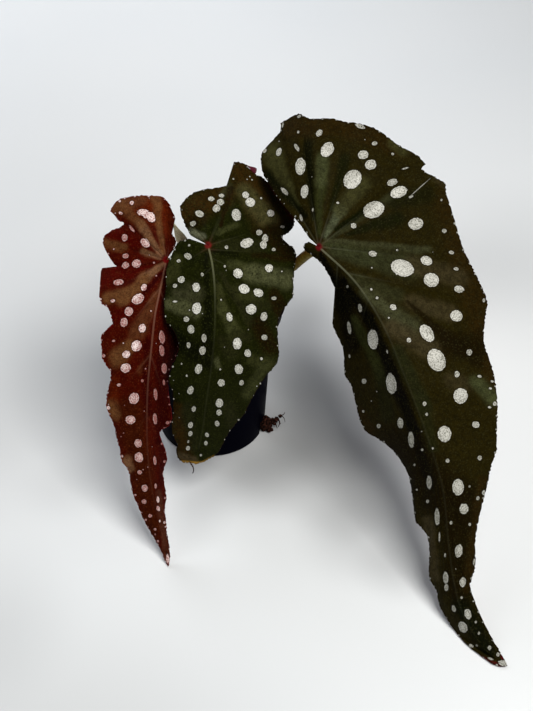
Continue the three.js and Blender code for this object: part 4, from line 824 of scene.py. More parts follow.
class Blade:
    """A leaf blade: rays from its joint or midrib out to its margin, raised off the plane of its drawing.

    A point of the drawing is x to the right and y down the blade. Its height over the plane falls away
    from the midrib on both sides by the two fold slopes, and relief is added along the line of sight.
    """

    def __init__(self, leaf, seed):
        self.leaf = leaf
        self.random = np.random.default_rng(seed)
        turn, tip = math.radians(leaf["turn"]), math.radians(leaf["tip"])
        sine, cosine = math.sin(turn), math.cos(turn)
        self.right = np.array([cosine, sine, 0])
        self.down = np.array([sine * math.sin(tip), -cosine * math.sin(tip), -math.cos(tip)])
        self.out = np.array([sine * math.cos(tip), -cosine * math.cos(tip), math.sin(tip)])
        self.midrib = np.array(leaf["midrib"], float)
        self.rows = np.array([row[:2] for row in leaf["margin"]], float)
        self.corners = np.array([len(row) in (3, 5) for row in leaf["margin"]])
        ends = [(i, *row[2:4]) for i, row in enumerate(leaf["margin"]) if len(row) > 3]
        self.vein_rows, self.vein_starts, self.vein_bulges = np.array(ends, float).T
        self.last = len(self.rows) - 1.0
        self.dense = np.linspace(0, self.last, MARGIN_POINTS)
        self.edge = self.margin(self.dense)
        self.length = travelled(self.edge)

    def midrib_x(self, y):
        """How far right the midrib lies, at y down the drawing."""
        return through(self.midrib[:, 1], self.midrib[:, 0], y)

    def place(self, x, y, relief):
        """Points of the drawing in space, folded, rounded along the midrib and kept off the table."""
        ahead = np.clip(y, 0, self.midrib[-1, 1])
        t = x - self.midrib_x(ahead)
        slope = np.where(t < 0, *self.leaf["fold"])
        height = through(self.midrib[:, 1], self.midrib[:, 2], ahead)
        drawn = height - self.leaf["back"] * np.minimum(y, 0) ** 2 - slope * np.abs(t)
        width = RIDGE_WIDTH + RIDGE_SPREAD * np.maximum(-y, 0)
        rounded = slope * (np.abs(t) - np.sqrt(t * t + width * width) + width)
        on_plane = x[..., None] * self.right + y[..., None] * self.down
        points = np.array(self.leaf["joint"]) + on_plane + drawn[..., None] * self.out
        sight = EYE - points
        sight = sight / (sight @ self.out)[..., None]
        points = points + (self.leaf["lift"](x, y, t) + rounded + relief)[..., None] * sight
        short = np.maximum(LOWEST_UPPER_FACE - points[..., 2], 0) / sight[..., 2]
        return points + short[..., None] * sight

    def margin(self, t):
        """The margin at row numbers t: cubics through the rows, whose tangents at a smooth row point
        from the row before to the row after it and at a corner run along the chord."""
        chord = np.diff(self.rows, axis=0)
        length = np.linalg.norm(chord, axis=1, keepdims=True)
        across = unit(self.rows[2:] - self.rows[:-2])
        smooth = ~self.corners[1:-1]
        leaving = np.concatenate([chord, chord[-1:]])
        arriving = np.concatenate([chord[:1], chord])
        leaving[1:-1][smooth] = (across * length[1:])[smooth]
        arriving[1:-1][smooth] = (across * length[:-1])[smooth]
        i = np.clip(np.floor(t).astype(int), 0, len(chord) - 1)
        f = (t - i)[:, None]
        ends = (2 * f**3 - 3 * f**2 + 1) * self.rows[i] + (3 * f**2 - 2 * f**3) * self.rows[i + 1]
        return ends + (f**3 - 2 * f**2 + f) * leaving[i] + (f**3 - f**2) * arriving[i + 1]

    def columns(self):
        """For each ray its row number on the margin and its start on the midrib. Both halves of the
        blade use the same starts, so that their rays meet on the midrib."""
        peak = int(np.argmax(self.vein_starts))
        first = int(np.flatnonzero(self.vein_starts[: peak + 1] == 0)[-1])
        rising_rows = self.vein_rows[first : peak + 1]
        rising_starts = self.vein_starts[first : peak + 1]
        falling_rows = np.append(self.vein_rows[peak:], self.last)[::-1]
        falling_starts = np.append(self.vein_starts[peak:], 0)[::-1]
        dense, length = self.dense, self.length

        def divided(knots, distance):
            """Knots with each span between them cut into equal steps no longer than the spacing."""
            far = np.abs(np.diff(distance(knots)))
            counts = np.maximum(1, np.ceil(far / COLUMN_SPACING)).astype(int)
            spans = [np.linspace(a, b, n, endpoint=False) for a, b, n in zip(knots[:-1], knots[1:], counts)]
            return np.append(np.concatenate(spans), knots[-1])

        whole = np.arange(self.last + 1)
        rise = np.interp(whole[whole >= rising_rows[0]], rising_rows, rising_starts)
        fall = np.interp(whole[whole >= falling_rows[-1]], falling_rows[::-1], falling_starts[::-1])
        knots = np.unique(np.round(np.concatenate([rise, fall]), 2))
        knots = knots[np.append(np.diff(knots) > KNOT_STEP, True)]
        knots[0] = 0
        on_rise = lambda starts: np.interp(np.interp(starts, rising_starts, rising_rows), dense, length)
        on_fall = lambda starts: np.interp(np.interp(starts, falling_starts, falling_rows), dense, length)
        finer = divided(divided(knots, on_rise), on_fall)
        lead = divided(np.arange(rising_rows[0] + 1), lambda k: np.interp(k, dense, length))[:-1]
        up = np.interp(finer, rising_starts, rising_rows)
        back = np.interp(finer[:-1], falling_starts, falling_rows)[::-1]
        rows = np.concatenate([lead, up, back])
        begin = np.concatenate([0 * lead, finer, finer[:-1][::-1]])
        down = np.arange(len(finer))
        return rows, begin, np.concatenate([0 * lead, down, down[:-1][::-1]]).astype(int)

    def sector(self, rows):
        """For row numbers: the part of the way from one vein end to the next, and the bulge between."""
        knots = np.concatenate([[0], self.vein_rows, [self.last]])
        bulges = np.concatenate([[0.8], self.vein_bulges])
        i = np.clip(np.searchsorted(knots, rows, side="right") - 1, 0, len(knots) - 2)
        return (rows - knots[i]) / np.maximum(knots[i + 1] - knots[i], NO_LENGTH), bulges[i]

    def vein_distance(self, points):
        """Distance from points of the drawing to the nearest main vein, and to the midrib alone."""
        heads = np.stack([self.midrib_x(self.vein_starts), self.vein_starts], -1)
        tails = self.margin(self.vein_rows)
        y = np.linspace(0, self.vein_starts.max(), 90)
        rib = np.stack([self.midrib_x(y), y], -1)

        def nearest(a, b):
            along = b - a
            share = ((points[:, None] - a) * along).sum(-1) / (along * along).sum(-1)
            foot = a + np.clip(share, 0, 1)[..., None] * along
            return np.linalg.norm(points[:, None] - foot, axis=-1).min(1)

        to_rib = nearest(rib[:-1], rib[1:])
        return np.minimum(nearest(heads, tails), to_rib), to_rib

    def brush(self, stroke, points):
        """How much of a stroke lies on each point of the drawing: full along the line from one end to
        the other, and fading softly across it. A stroke ends with its two widths and its strength."""
        x0, y0, x1, y1, wide0, wide1, strength = stroke
        start, run = np.array([x0, y0]), np.array([x1 - x0, y1 - y0])
        share = np.clip((points - start) @ run / (run @ run), 0, 1)
        away = np.linalg.norm(points - start - share[:, None] * run, axis=1)
        width = wide0 + (wide1 - wide0) * share
        return strength * np.exp(-((away / width) ** STROKE_SHARPNESS))

    def paint(self, points, ground):
        """The tones of the blade: strokes laid over its ground one after the other, a little uneven. They
        hold the blade's own colour together with painted sheen and painted shade.
        """
        plain = np.column_stack([points, 0 * points[:, 0]])
        wavy = lambda seed: lattice_noise(plain, 4.5, seed) + 0.5 * lattice_noise(plain, 1.9, seed)
        points = points + PAINT_UNEVEN * np.stack([wavy(31), wavy(32)], -1)
        ground = np.array(colour(ground))
        tones = np.tile(ground, (len(points), 1))
        for tone, *stroke in self.leaf["strokes"]:
            tones += self.brush(stroke, points)[:, None] * (colour(STROKE_TONES[tone]) - tones)
        tones = np.maximum(ground + PAINT_CONTRAST * (tones - ground), LEAST_TONE)
        return tones * (*self.leaf["paint_strength"], 1)

    def spots(self):
        """All spots as rows of x, y, half width, half height and lean: those listed, small dots at
        even steps along the margin, and a few specks scattered over the blade."""
        drawn = [spot_row(*row) for row in self.leaf["spots"]]
        edge, length = self.edge, self.length
        count = int(length[-1] / DOT_SPACING)
        at = (np.arange(count) + self.random.uniform(0.15, 0.85, count)) * length[-1] / count
        along = lambda values: np.stack([np.interp(at, length, values[:, k]) for k in range(2)], -1)
        turn = along(unit(np.stack([np.gradient(edge[:, 0]), np.gradient(edge[:, 1])], -1)))
        area = np.sum(edge[:-1, 0] * edge[1:, 1] - edge[1:, 0] * edge[:-1, 1])
        inward = np.stack([-turn[:, 1], turn[:, 0]], -1) * np.sign(area)
        size = self.random.uniform(*DOT_SIZES, count)
        centre = along(edge) + inward * (size * 0.75)[:, None]
        dots = np.column_stack([centre, size, size * self.random.uniform(*DOT_STRETCH, count), 0 * size])
        place = self.random.uniform(edge.min(0), edge.max(0), (SPECK_COUNT, 2))
        small = self.random.uniform(*SPECK_SIZES, SPECK_COUNT)
        return np.concatenate([drawn, dots, np.column_stack([place, small, small, 0 * small])])

    def mesh(self, name, materials, ground):
        """The blade as a piece. Each ray is cut into rows that crowd towards its start. Its relief is an
        arch between the side veins, a groove along them and a ridge on the midrib. The under face lies
        behind the upper one along the line of sight, thickest in the middle and ribbed below the veins."""
        rows, begin, spine = self.columns()
        rim = self.margin(rows)
        along = travelled(rim)
        ripple = np.sin(along * 2.1) * np.sin(along * 0.83 + 1) + 0.6 * np.sin(along * 3.7)
        normal = unit(np.stack([np.gradient(rim[:, 1]), -np.gradient(rim[:, 0])], -1))
        rim = rim + MARGIN_RIPPLE * ripple[:, None] * normal
        sector, bulge = self.sector(rows)

        v = (np.arange(1, BLADE_ROWS + 1) / BLADE_ROWS) ** ROW_CROWDING
        origin = np.stack([self.midrib_x(begin), begin], -1)
        grid = origin[:, None] + (rim - origin)[:, None] * v[None, :, None]
        levels = spine.max() + 1
        spine_at = np.zeros(levels)
        spine_at[spine] = begin
        flat = np.concatenate([np.stack([self.midrib_x(spine_at), spine_at], -1), grid.reshape(-1, 2)])
        count = len(rows)

        def spread(per_column, at_spine=0.0):
            values = np.broadcast_to(per_column, (count, BLADE_ROWS)).reshape(-1)
            return np.concatenate([np.full(levels, at_spine), values])

        outward = spread(v[None, :])
        wave = spread(np.sin(np.pi * sector)[:, None])
        arch = spread(bulge[:, None]) * wave * outward**0.8 * (1.15 - 1.6 * outward**4)
        reach = spread(np.linalg.norm(rim - origin, axis=1)[:, None] * v[None, :])
        chevron = spread(np.abs(2 * sector - 1)[:, None], 1.0)
        vein, to_rib = self.vein_distance(flat)
        fade = (1 - outward) ** 0.7
        groove = VEIN_GROOVE * bell(vein, VEIN_GROOVE_WIDTH) * fade * (to_rib > MIDRIB_CLEARANCE)
        ridge = MIDRIB_RIDGE * bell(to_rib, MIDRIB_RIDGE_WIDTH)
        upper = np.clip(self.place(flat[:, 0], flat[:, 1], arch - groove + ridge), BOX_LOW, BOX_HIGH)

        number = np.empty((count, BLADE_ROWS + 1), int)
        number[:, 0] = spine
        number[:, 1:] = levels + np.arange(count * BLADE_ROWS).reshape(count, BLADE_ROWS)
        a, b, c, d = number[:-1, :-1], number[:-1, 1:], number[1:, :-1], number[1:, 1:]
        faces = np.concatenate([facets(a, b, d), facets(a, d, c)])
        faces = faces[(faces[:, 0] != faces[:, 2]) & (faces[:, 1] != faces[:, 2])]
        loop = np.concatenate([number[0, :-1], number[:, -1], number[-1, -2::-1]])
        across = np.cross(upper[faces[:, 1]] - upper[faces[:, 0]], upper[faces[:, 2]] - upper[faces[:, 0]])
        if (across @ self.out).sum() < 0:
            faces, across, loop = faces[:, ::-1], -across, loop[::-1]
        normals = np.zeros_like(upper)
        for k in range(3):
            np.add.at(normals, faces[:, k], across)
        normals = unit(normals)

        thick = BLADE_EDGE_THICKNESS + (BLADE_MIDDLE_THICKNESS - BLADE_EDGE_THICKNESS) * (1 - outward)
        rib = UNDER_RIB * bell(vein, UNDER_RIB_WIDTH) * fade * soft_step(3, 12, upper[:, 2])
        sight = unit(EYE - upper)
        facing = np.maximum((normals * sight).sum(-1), LEAST_FACING)
        lower = upper - ((thick + rib) / facing)[:, None] * sight
        lower = np.clip(lower, BOX_LOW, BOX_HIGH)
        lower[:, 2] = np.maximum(lower[:, 2], FLOOR_GAP)
        size = len(upper)
        s, e = loop[:-1], loop[1:]
        wall = np.concatenate([facets(s, s + size, e + size), facets(s, e + size, e)])
        all_faces = np.concatenate([faces, faces[:, ::-1] + size, wall])
        which = np.repeat([0, 1, 0], [len(faces), len(faces), len(wall)])
        obj = piece(name, np.concatenate([upper, lower]), all_faces.tolist(), materials, which)

        nearest_rim = np.full(size, FAR_AWAY)
        for part in np.array_split(np.concatenate([rim, [origin[0]]]), 10):
            nearest_rim = np.minimum(nearest_rim, np.linalg.norm(flat[:, None] - part, axis=-1).min(1))
        from_joint = np.linalg.norm(flat, axis=1)
        streak = bell(vein, 0.7) * bell(from_joint, 3.6)
        net = np.cos(2 * np.pi * (reach / NET_SPACING + 0.9 * chevron)) * fade * wave
        values = {
            "vein": vein, "to_rib": to_rib, "rim": nearest_rim, "outward": outward, "net": net,
            "rib_fade": 0.06 + 0.94 * bell(from_joint, self.leaf["rib_reach"]),
            "crimson": np.clip(soft_step(2.1, 0.9, from_joint) + 0.18 * streak, 0, 1),
            "dry": sum((self.brush(stroke, flat) for stroke in self.leaf["dry"]), 0 * vein),
        }
        for key, value in values.items():
            mark(obj, key, np.tile(value, 2))
        # The painted tones, with painted sheen and painted shade among them
        mark(obj, "paint", np.tile(self.paint(flat, ground), (2, 1)), "FLOAT_COLOR")
        self.mark_spots(obj, flat, faces, len(all_faces))
        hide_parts(name)
        return obj

    def mark_spots(self, obj, flat, faces, face_count):
        """Gives each corner of the upper faces its place in the spot nearest to its face, in half widths
        and half heights of that spot, and the spot's smaller half size in millimetres."""
        spots = self.spots()
        x, y, wide, high, lean = spots.T
        size = np.minimum(wide, high)

        def local(points, k):
            dx, dy = points[..., 0] - x[k], points[..., 1] - y[k]
            u = (np.cos(lean[k]) * dx + np.sin(lean[k]) * dy) / wide[k]
            w = (-np.sin(lean[k]) * dx + np.cos(lean[k]) * dy) / high[k]
            return u, w

        centre = flat[faces].mean(1)
        best = np.full(len(faces), FAR_AWAY)
        chosen = np.zeros(len(faces), int)
        for k in range(len(spots)):
            u, w = local(centre, k)
            gap = (np.sqrt(u * u + w * w) - 1) * size[k]
            nearer = gap < best
            best[nearer] = gap[nearer]
            chosen[nearer] = k
        u, w = local(flat[faces], chosen[:, None])
        marks = np.full((face_count, 3, 3), OFF_SPOT)
        marks[: len(faces)] = np.stack([u, w, np.broadcast_to(size[chosen][:, None], u.shape)], -1)
        mark(obj, "spot", marks, "FLOAT_VECTOR", "CORNER")


def pot_shape():
    """The pot: an outer and an inner profile turned about Z, with the same stations, joined over the rim.
    Cells of both that lie in a slot are left out, and walls join the two along the slot's outline.
    A profile is rows of radius and height."""
    collar = POT_HEIGHT - COLLAR_HEIGHT
    corner = np.linspace(0, np.pi / 2, 7)
    base = [(0, 0), (12, 0), (SLOT_INNER_RADIUS, 0), (SLOT_INNER_RADIUS + 2, 0)]
    upright = np.linspace(14, collar - 3.2, 9)

    def wall(*heights, inset=0):
        """Stations on the tapered wall, which widens evenly from the base to the collar."""
        return [(BASE_RADIUS + (WALL_TOP_RADIUS - BASE_RADIUS) * z / collar - inset, z) for z in heights]

    def beside(radius, *steps):
        """Stations a few steps out from a radius and up from the foot of the collar."""
        return [(radius + out, collar + up) for out, up in steps]

    def flared(out, up, height):
        """Three stations up the collar, which leans out to the rim."""
        lean = RIM_RADIUS - 1.1 - COLLAR_LOW_RADIUS
        return [(COLLAR_LOW_RADIUS + out + s * lean, collar + up + s * height) for s in (0, 0.5, 1)]

    def rounded(radius, x, z, angles):
        """Stations on an arc about x, z, at angles up from straight out."""
        return [(x + radius * np.cos(a), z + radius * np.sin(a)) for a in angles]

    foot = BASE_RADIUS - FOOT_RADIUS
    outer = base + [(foot + FOOT_RADIUS * np.sin(a), FOOT_RADIUS - FOOT_RADIUS * np.cos(a)) for a in corner]
    outer += wall(4, SLOT_HEIGHT, *upright)
    outer += beside(WALL_TOP_RADIUS, (0.25, -1.8), (1.1, -0.7), (2.2, -0.15))
    outer += beside(COLLAR_LOW_RADIUS, (-0.5, 0), (-0.1, 0.2), (0, 0.6)) + flared(0.15, 0.8, 6.6)
    roll = np.linspace(-0.42 * np.pi, 0.98 * np.pi, 9)
    outer += rounded(RIM_ROLL_RADIUS, RIM_RADIUS - RIM_ROLL_RADIUS, POT_HEIGHT - RIM_ROLL_RADIUS, roll)
    outer = np.array(outer, float)

    foot = wall(FLOOR_THICKNESS, inset=WALL_THICKNESS)[0][0] - 1
    inner = [(radius, FLOOR_THICKNESS) for radius, _ in base]
    inner += [(foot + np.sin(a), FLOOR_THICKNESS + 1 - np.cos(a)) for a in corner]
    inner += wall(4.3, SLOT_HEIGHT, *upright, inset=WALL_THICKNESS)
    inner += beside(WALL_TOP_RADIUS, (-WALL_THICKNESS, -1.8), (-1.1, -0.2), (0.4, 0.9))
    inner += beside(COLLAR_LOW_RADIUS, (-2.4, 1.15), (-1.7, 1.4), (-1.4, 1.8)) + flared(-1.3, 2.2, 5)
    over_rim = np.linspace(0, 1, 10)[1:, None]
    inner = np.array(inner, float)
    inner = np.concatenate([inner, inner[-1] + over_rim * (outer[-1] + (0, -0.15) - inner[-1])])

    angle = np.radians(SLOT_FIRST_ANGLE + 360 / POT_SIDES * np.arange(POT_SIDES))
    stations = len(outer)
    turn = np.stack([np.cos(angle), np.sin(angle), 1 + 0 * angle], -1)
    profiles = np.concatenate([outer, inner])
    points = profiles[:, [0, 0, 1]][:, None] * turn

    number = np.arange(stations * POT_SIDES).reshape(stations, POT_SIDES)
    lift = stations * POT_SIDES
    between = np.degrees(angle) - SLOT_FIRST_ANGLE + 180 / POT_SIDES
    in_slot = np.abs((between + 30) % (360 / SLOT_COUNT) - 30) < SLOT_HALF_ANGLE
    low = int(np.argmin(np.abs(outer[:, 0] - SLOT_INNER_RADIUS) + outer[:, 1]))
    high = int(np.argmin(np.abs(outer[:, 1] - SLOT_HEIGHT)))
    station = np.arange(stations - 1)
    cut = ((station >= low) & (station < high))[:, None] & in_slot[None, :]

    after = np.roll(number, -1, axis=1)
    a, b, c, d = number[:-1], after[:-1], after[1:], number[1:]
    keep = ~cut
    right = cut & ~np.roll(cut, 1, axis=1)
    left = cut & ~np.roll(cut, -1, axis=1)
    top, sill, head = [(number[row], after[row]) for row in (-1, low, high)]
    return points.reshape(-1, 3), np.concatenate([
        facets(a[keep], b[keep], c[keep], d[keep]),
        facets(a[keep], d[keep], c[keep], b[keep]) + lift,
        facets(top[0], top[1], top[1] + lift, top[0] + lift),
        facets(a[right], d[right], d[right] + lift, a[right] + lift),
        facets(b[left], b[left] + lift, c[left] + lift, c[left]),
        facets(sill[1], sill[1] + lift, sill[0] + lift, sill[0])[in_slot],
        facets(head[0] + lift, head[1] + lift, head[1], head[0])[in_slot],
    ])


def welded(points, faces):
    """The same faces on points that are merged where they coincide; a quad that loses a corner there
    becomes a triangle."""
    unique, number = np.unique(np.round(points, 3), axis=0, return_inverse=True)
    tidy = []
    for face in number.ravel()[np.asarray(faces)].tolist():
        corners = [corner for i, corner in enumerate(face) if corner != face[i - 1]]
        if len(set(corners)) > 2:
            tidy.append(corners)
    return unique, tidy


def soil_shape():
    """The soil: a profile turned about Z and shifted towards the cane's hole as it nears it. Its top is
    a low crown with waves and crumbs of noise."""
    collar = POT_HEIGHT - COLLAR_HEIGHT
    high = WALL_TOP_RADIUS - WALL_THICKNESS - SOIL_CLEARANCE
    low = BASE_RADIUS - WALL_THICKNESS - 0.5
    top_radii = np.linspace(high + 2, CANE_HOLE_RADIUS, SOIL_RINGS)
    rim = [(0, SOIL_BOTTOM), (low, SOIL_BOTTOM), (high, collar - 0.8), (high + 2.3, SOIL_TOP - 0.6)]
    profile = rim + [(r, SOIL_TOP) for r in top_radii]
    profile += [(CANE_HOLE_RADIUS, SOIL_TOP - 4), (CANE_HOLE_RADIUS, CANE_HOLE_BOTTOM)]
    profile += [(0, CANE_HOLE_BOTTOM)]
    radii, heights = np.array(profile, float).T
    angle = round_angles(SOIL_SIDES)
    shift = np.clip((high + 2 - radii) / (high + 2 - CANE_HOLE_RADIUS), 0, 1)[:, None]
    x = radii[:, None] * np.cos(angle) + shift * CANE_AXIS[0] * (radii > 0)[:, None]
    y = radii[:, None] * np.sin(angle) + shift * CANE_AXIS[1] * (radii > 0)[:, None]
    points = np.stack([x, y, np.broadcast_to(heights[:, None], x.shape)], -1)
    on_top = slice(len(rim), len(rim) + len(top_radii))
    top = points[on_top].reshape(-1, 3)
    px, py = top[:, 0], top[:, 1]
    wave = np.sin(px / 3.4 + 1.3) * np.cos(py / 3.4 - 0.4) + 0.5 * np.sin((px - py) / 1.7)
    crumbs = lattice_noise(top, 3.1, 5) + 0.6 * lattice_noise(top, 1.5, 6)
    crown = SOIL_CROWN * (1 - np.hypot(px, py) / 30)
    height = SOIL_TOP + SOIL_RIPPLE * wave + crown + SOIL_GRAIN * crumbs - 0.5
    points[on_top, :, 2] = height.reshape(SOIL_RINGS, SOIL_SIDES)
    points[-1, :, :2] = CANE_AXIS
    return welded(points.reshape(-1, 3), wrapped(len(profile), SOIL_SIDES))


CANE = [
    (-3, 2, 68, 4.4), (-3, 1.8, 84, 4.4), (-3.6, 1.6, 90, 5), (-4.6, 1.4, 96, 3.9), (-6, 1.2, 103, 3.6),
    (-7.4, 1, 109, 4.3), (-8.6, 1, 114, 3.3), (-9.8, 1, 119, 3), (-10.8, 0.8, 123.5, 1.8),
]
RIGHT_PETIOLE = [
    (-2, 1.5, 91, 2.4), (8, -1.5, 96.5, 2.7), (22, -8, 106, 2.4), (34, -9.6, 110.7, 2.4),
    (43, -14.4, 119.6, 2.5), (47.7, -19.8, 128.4, 2.4), (51.6, -28.4, 138.8, 2.3),
    (53.9, -33.4, 143.6, 2),
]
MIDDLE_PETIOLE = [
    (-7, 1, 108, 2.1), (-6, -5, 115, 2.3), (-2.5, -14.5, 125, 2.1), (1, -24, 136, 2),
    (3.2, -30.4, 143.2, 2),
]
LEFT_PETIOLE = [
    (-8.6, 1, 113, 1.9), (-11, -4.5, 117, 2), (-13.8, -12, 122.2, 1.8), (-15.6, -19.6, 127.4, 1.7),
]


def petiole_rows(rows, blade):
    """A petiole's rows with a tail that comes up square under the joint of its blade."""
    end = blade.place(np.array([0.0]), np.array([0.0]), np.array([0.0]))[0]
    tip = CAD_BLADE_THICKNESS + 0.1
    tail = [(4.2, PETIOLE_TIP_RADIUS + 0.2), (2.6, PETIOLE_TIP_RADIUS), (tip, 1.1)]
    return rows + [(*(end - depth * blade.out), radius) for depth, radius in tail]


def make_stem(blades, material):
    """The cane, a tube with swollen nodes and rings where leaves grew, and the petioles, tubes with faint
    waves along them."""
    shapes = []
    path, radii, along = smooth_stalk(CANE, CANE_STEPS)
    scars = sum(SCAR_HEIGHT * bell(along - at, SCAR_WIDTH) for at in SCAR_PLACES)
    shapes.append(tube(path, radii + scars))
    for rows, blade in zip((RIGHT_PETIOLE, MIDDLE_PETIOLE, LEFT_PETIOLE), blades):
        path, radii, along = smooth_stalk(petiole_rows(rows, blade), PETIOLE_STEPS)
        shapes.append(tube(path, radii * (1 + PETIOLE_WAVE * np.sin(along * 1.7))))
    points, faces = joined(*shapes)
    stem = piece("stem_detail", points, faces, [material])
    stem.data.update()
    normals = np.empty(len(points) * 3, np.float32)
    stem.data.vertices.foreach_get("normal", normals)
    mark(stem, "under_side", 0.5 - 0.5 * normals[2::3])
    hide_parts("stem")


def closed_sheet(front, thickness):
    """A sheet with two faces from a grid of points: the back lies `thickness` behind the front."""
    rows, columns = front.shape[:2]
    back = front - thickness * unit(np.cross(np.gradient(front, axis=1), np.gradient(front, axis=0)))
    size = rows * columns
    number = np.arange(size).reshape(rows, columns)
    face = facets(number[:-1, :-1], number[:-1, 1:], number[1:, 1:], number[1:, :-1])
    loop = np.concatenate([number[0, :-1], number[:-1, -1], number[-1, :0:-1], number[:0:-1, 0], [0]])
    wall = facets(loop[:-1], loop[:-1] + size, loop[1:] + size, loop[1:])
    return np.concatenate([front, back]).reshape(-1, 3), np.concatenate([face, face[:, ::-1] + size, wall])


def make_stipule(material):
    """The stipule: a sheet that narrows to a point. It curls back by the square of the way from its
    middle to its side, with fine waves as folds along it."""
    length = STIPULE_POINT - STIPULE_BASE
    side = unit(np.array([1, -0.15, 0.35]))
    out = unit(np.cross(side, length))
    u, s = np.meshgrid(np.linspace(0, 1, 50), np.linspace(-1, 1, 40), indexing="ij")
    half = STIPULE_HALF_WIDTH * (1 - 0.9 * u**1.5)
    curl = 1.5 * s * s * (1 - 0.8 * u) - 0.12 * np.sin(9 * s + 2 * u) + 0.25 * np.sin(7 * u) * s
    middle = STIPULE_BASE + u[..., None] * length
    front = middle + (s * half)[..., None] * side + (0.2 - curl)[..., None] * out
    points, faces = closed_sheet(front, STIPULE_THICKNESS)
    stipule = piece("stipule_detail", points, faces.tolist(), [material])
    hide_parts("stipule")


ROOT_LUMPS = [
    ((31.2, -7.8, 4.2), (3.4, 4.1, 4.1)), ((34.4, -8.8, 6.8), (1.9, 1.7, 1.7)),
    ((36.9, -9, 9), (1.3, 1.2, 1.4)), ((39, -9, 11.6), (1.1, 0.9, 1.1)),
    ((34.8, -6.8, 6), (1.7, 1.2, 1.5)), ((37.4, -7.3, 8), (0.9, 0.9, 0.8)),
    ((32.8, -10.6, 2.6), (1.7, 1.5, 1.5)), ((34.3, -10, 1.5), (0.9, 0.9, 0.8)),
    ((36, -8.4, 4.8), (0.9, 0.8, 0.9)),
]


def make_roots(material):
    """The clump in the slot's mouth: balls made uneven by noise, and thin roots that curl out among them."""
    random = np.random.default_rng(11)
    angles = np.linspace(LUMP_POLE, np.pi - LUMP_POLE, LUMP_RINGS), round_angles(LUMP_SIDES)
    polar, turn = np.meshgrid(*angles, indexing="ij")
    ball = np.stack([np.sin(polar) * np.cos(turn), np.sin(polar) * np.sin(turn), np.cos(polar)], -1)
    ball = ball.reshape(-1, 3)
    ball_faces = [face[::-1] for face in capped(LUMP_RINGS, LUMP_SIDES)]
    shapes = []
    for seed, (middle, size) in enumerate(ROOT_LUMPS):
        bumps = 0.26 * lattice_noise(ball * 3, 1.4, seed), 0.17 * lattice_noise(ball * 3, 0.6, seed + 20)
        points = middle + ball * (1 + bumps[0] + bumps[1])[:, None] * size
        points[:, 2] = np.maximum(points[:, 2], FLOOR_GAP)
        ends = np.stack([points[:LUMP_SIDES].mean(0), points[-LUMP_SIDES:].mean(0)])
        shapes.append((np.concatenate([points, ends]), ball_faces))
    s = np.linspace(0, 1, 26)
    for _ in range(FINE_ROOTS):
        start = np.array(ROOT_LUMPS[random.integers(0, 6)][0])
        heading, bend, length = random.uniform(-1.1, 0.7), random.uniform(-1.6, 1.6), random.uniform(2.5, 5)
        x = start[0] + s * length * np.cos(heading + bend * s)
        y = start[1] + s * length * np.sin(heading + bend * s)
        z = np.maximum(start[2] + s * random.uniform(-1.5, 2.2) - 2 * s * s, 0.8)
        radii = random.uniform(0.2, 0.36) * (1 - 0.6 * s) + 0.05
        shapes.append(tube(np.stack([x, y, z], -1), radii, 10))
    points, faces = joined(*shapes)
    roots = piece("roots_detail", points, faces, [material])
    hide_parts("roots")


def turn_edge(name, blade, rows, lean, node, material):
    """A sliver of margin that is turned over, so that its under face shows: it runs along the margin
    between two rows and widens in the middle, towards `lean`, behind the blade."""
    t, v = np.meshgrid(np.linspace(*rows, 40), np.linspace(0, 1, 12), indexing="ij")
    edge = blade.margin(t.ravel()).reshape(*t.shape, 2)
    bow = np.sin(np.pi * ((t - rows[0]) / (rows[1] - rows[0])) ** 2) ** 0.8
    x = edge[..., 0] + v * bow * lean[0]
    y = edge[..., 1] + v * bow * lean[1]
    front = blade.place(x, y, -0.5 - 0.6 * np.sin(np.pi * v) * bow)
    points, faces = closed_sheet(front, TURNED_EDGE_THICKNESS)
    sliver = piece(name, points, faces.tolist(), [material])
    mark(sliver, "vein", np.full(len(points), NO_VEIN_NEAR))
    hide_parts(node)


def make_thread(blade, material):
    """The dried thread at the blunt tip of the middle leaf."""
    at = np.linspace(0, 4, 40)
    x = through(range(5), (-14.8, -13.6, -12.8, -12.7, -13.3), at)
    y = through(range(5), (106.2, 108, 109.6, 111.2, 112.6), at)
    path = blade.place(x, y, -0.4)
    points, faces = tube(path, THREAD_RADIUS * (1 - 0.1 * at) * (1 + 0.15 * np.sin(at * 9)), 10)
    thread = piece("leaf_middle_thread", points, faces, [material])
    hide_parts("leaf_middle")


# Painted shadows on the floor paper: soft darker places round the plant as middle x, middle y, half width,
# half length and strength
FLOOR_PAINTED_SHADOWS = [
    (60, 8, 72, 110, 0.42), (16, -42, 60, 42, 0.3), (82, -84, 44, 44, 0.27), (50, 28, 34, 84, 0.17),
    (44, -32, 62, 34, 0.1), (-8, -70, 26, 34, 0.15), (70, -62, 34, 36, 0.14), (100, -108, 30, 26, 0.2),
    (58, 98, 26, 36, 0.16), (-74, -52, 36, 32, 0.09), (80, 140, 170, 90, 0.16),
    (205, 150, 110, 130, 0.15), (-110, 20, 80, 110, 0.16), (-160, 60, 260, 700, 0.14),
    (-40, -215, 210, 110, 0.2), (-100, -140, 50, 60, 0.1),
]


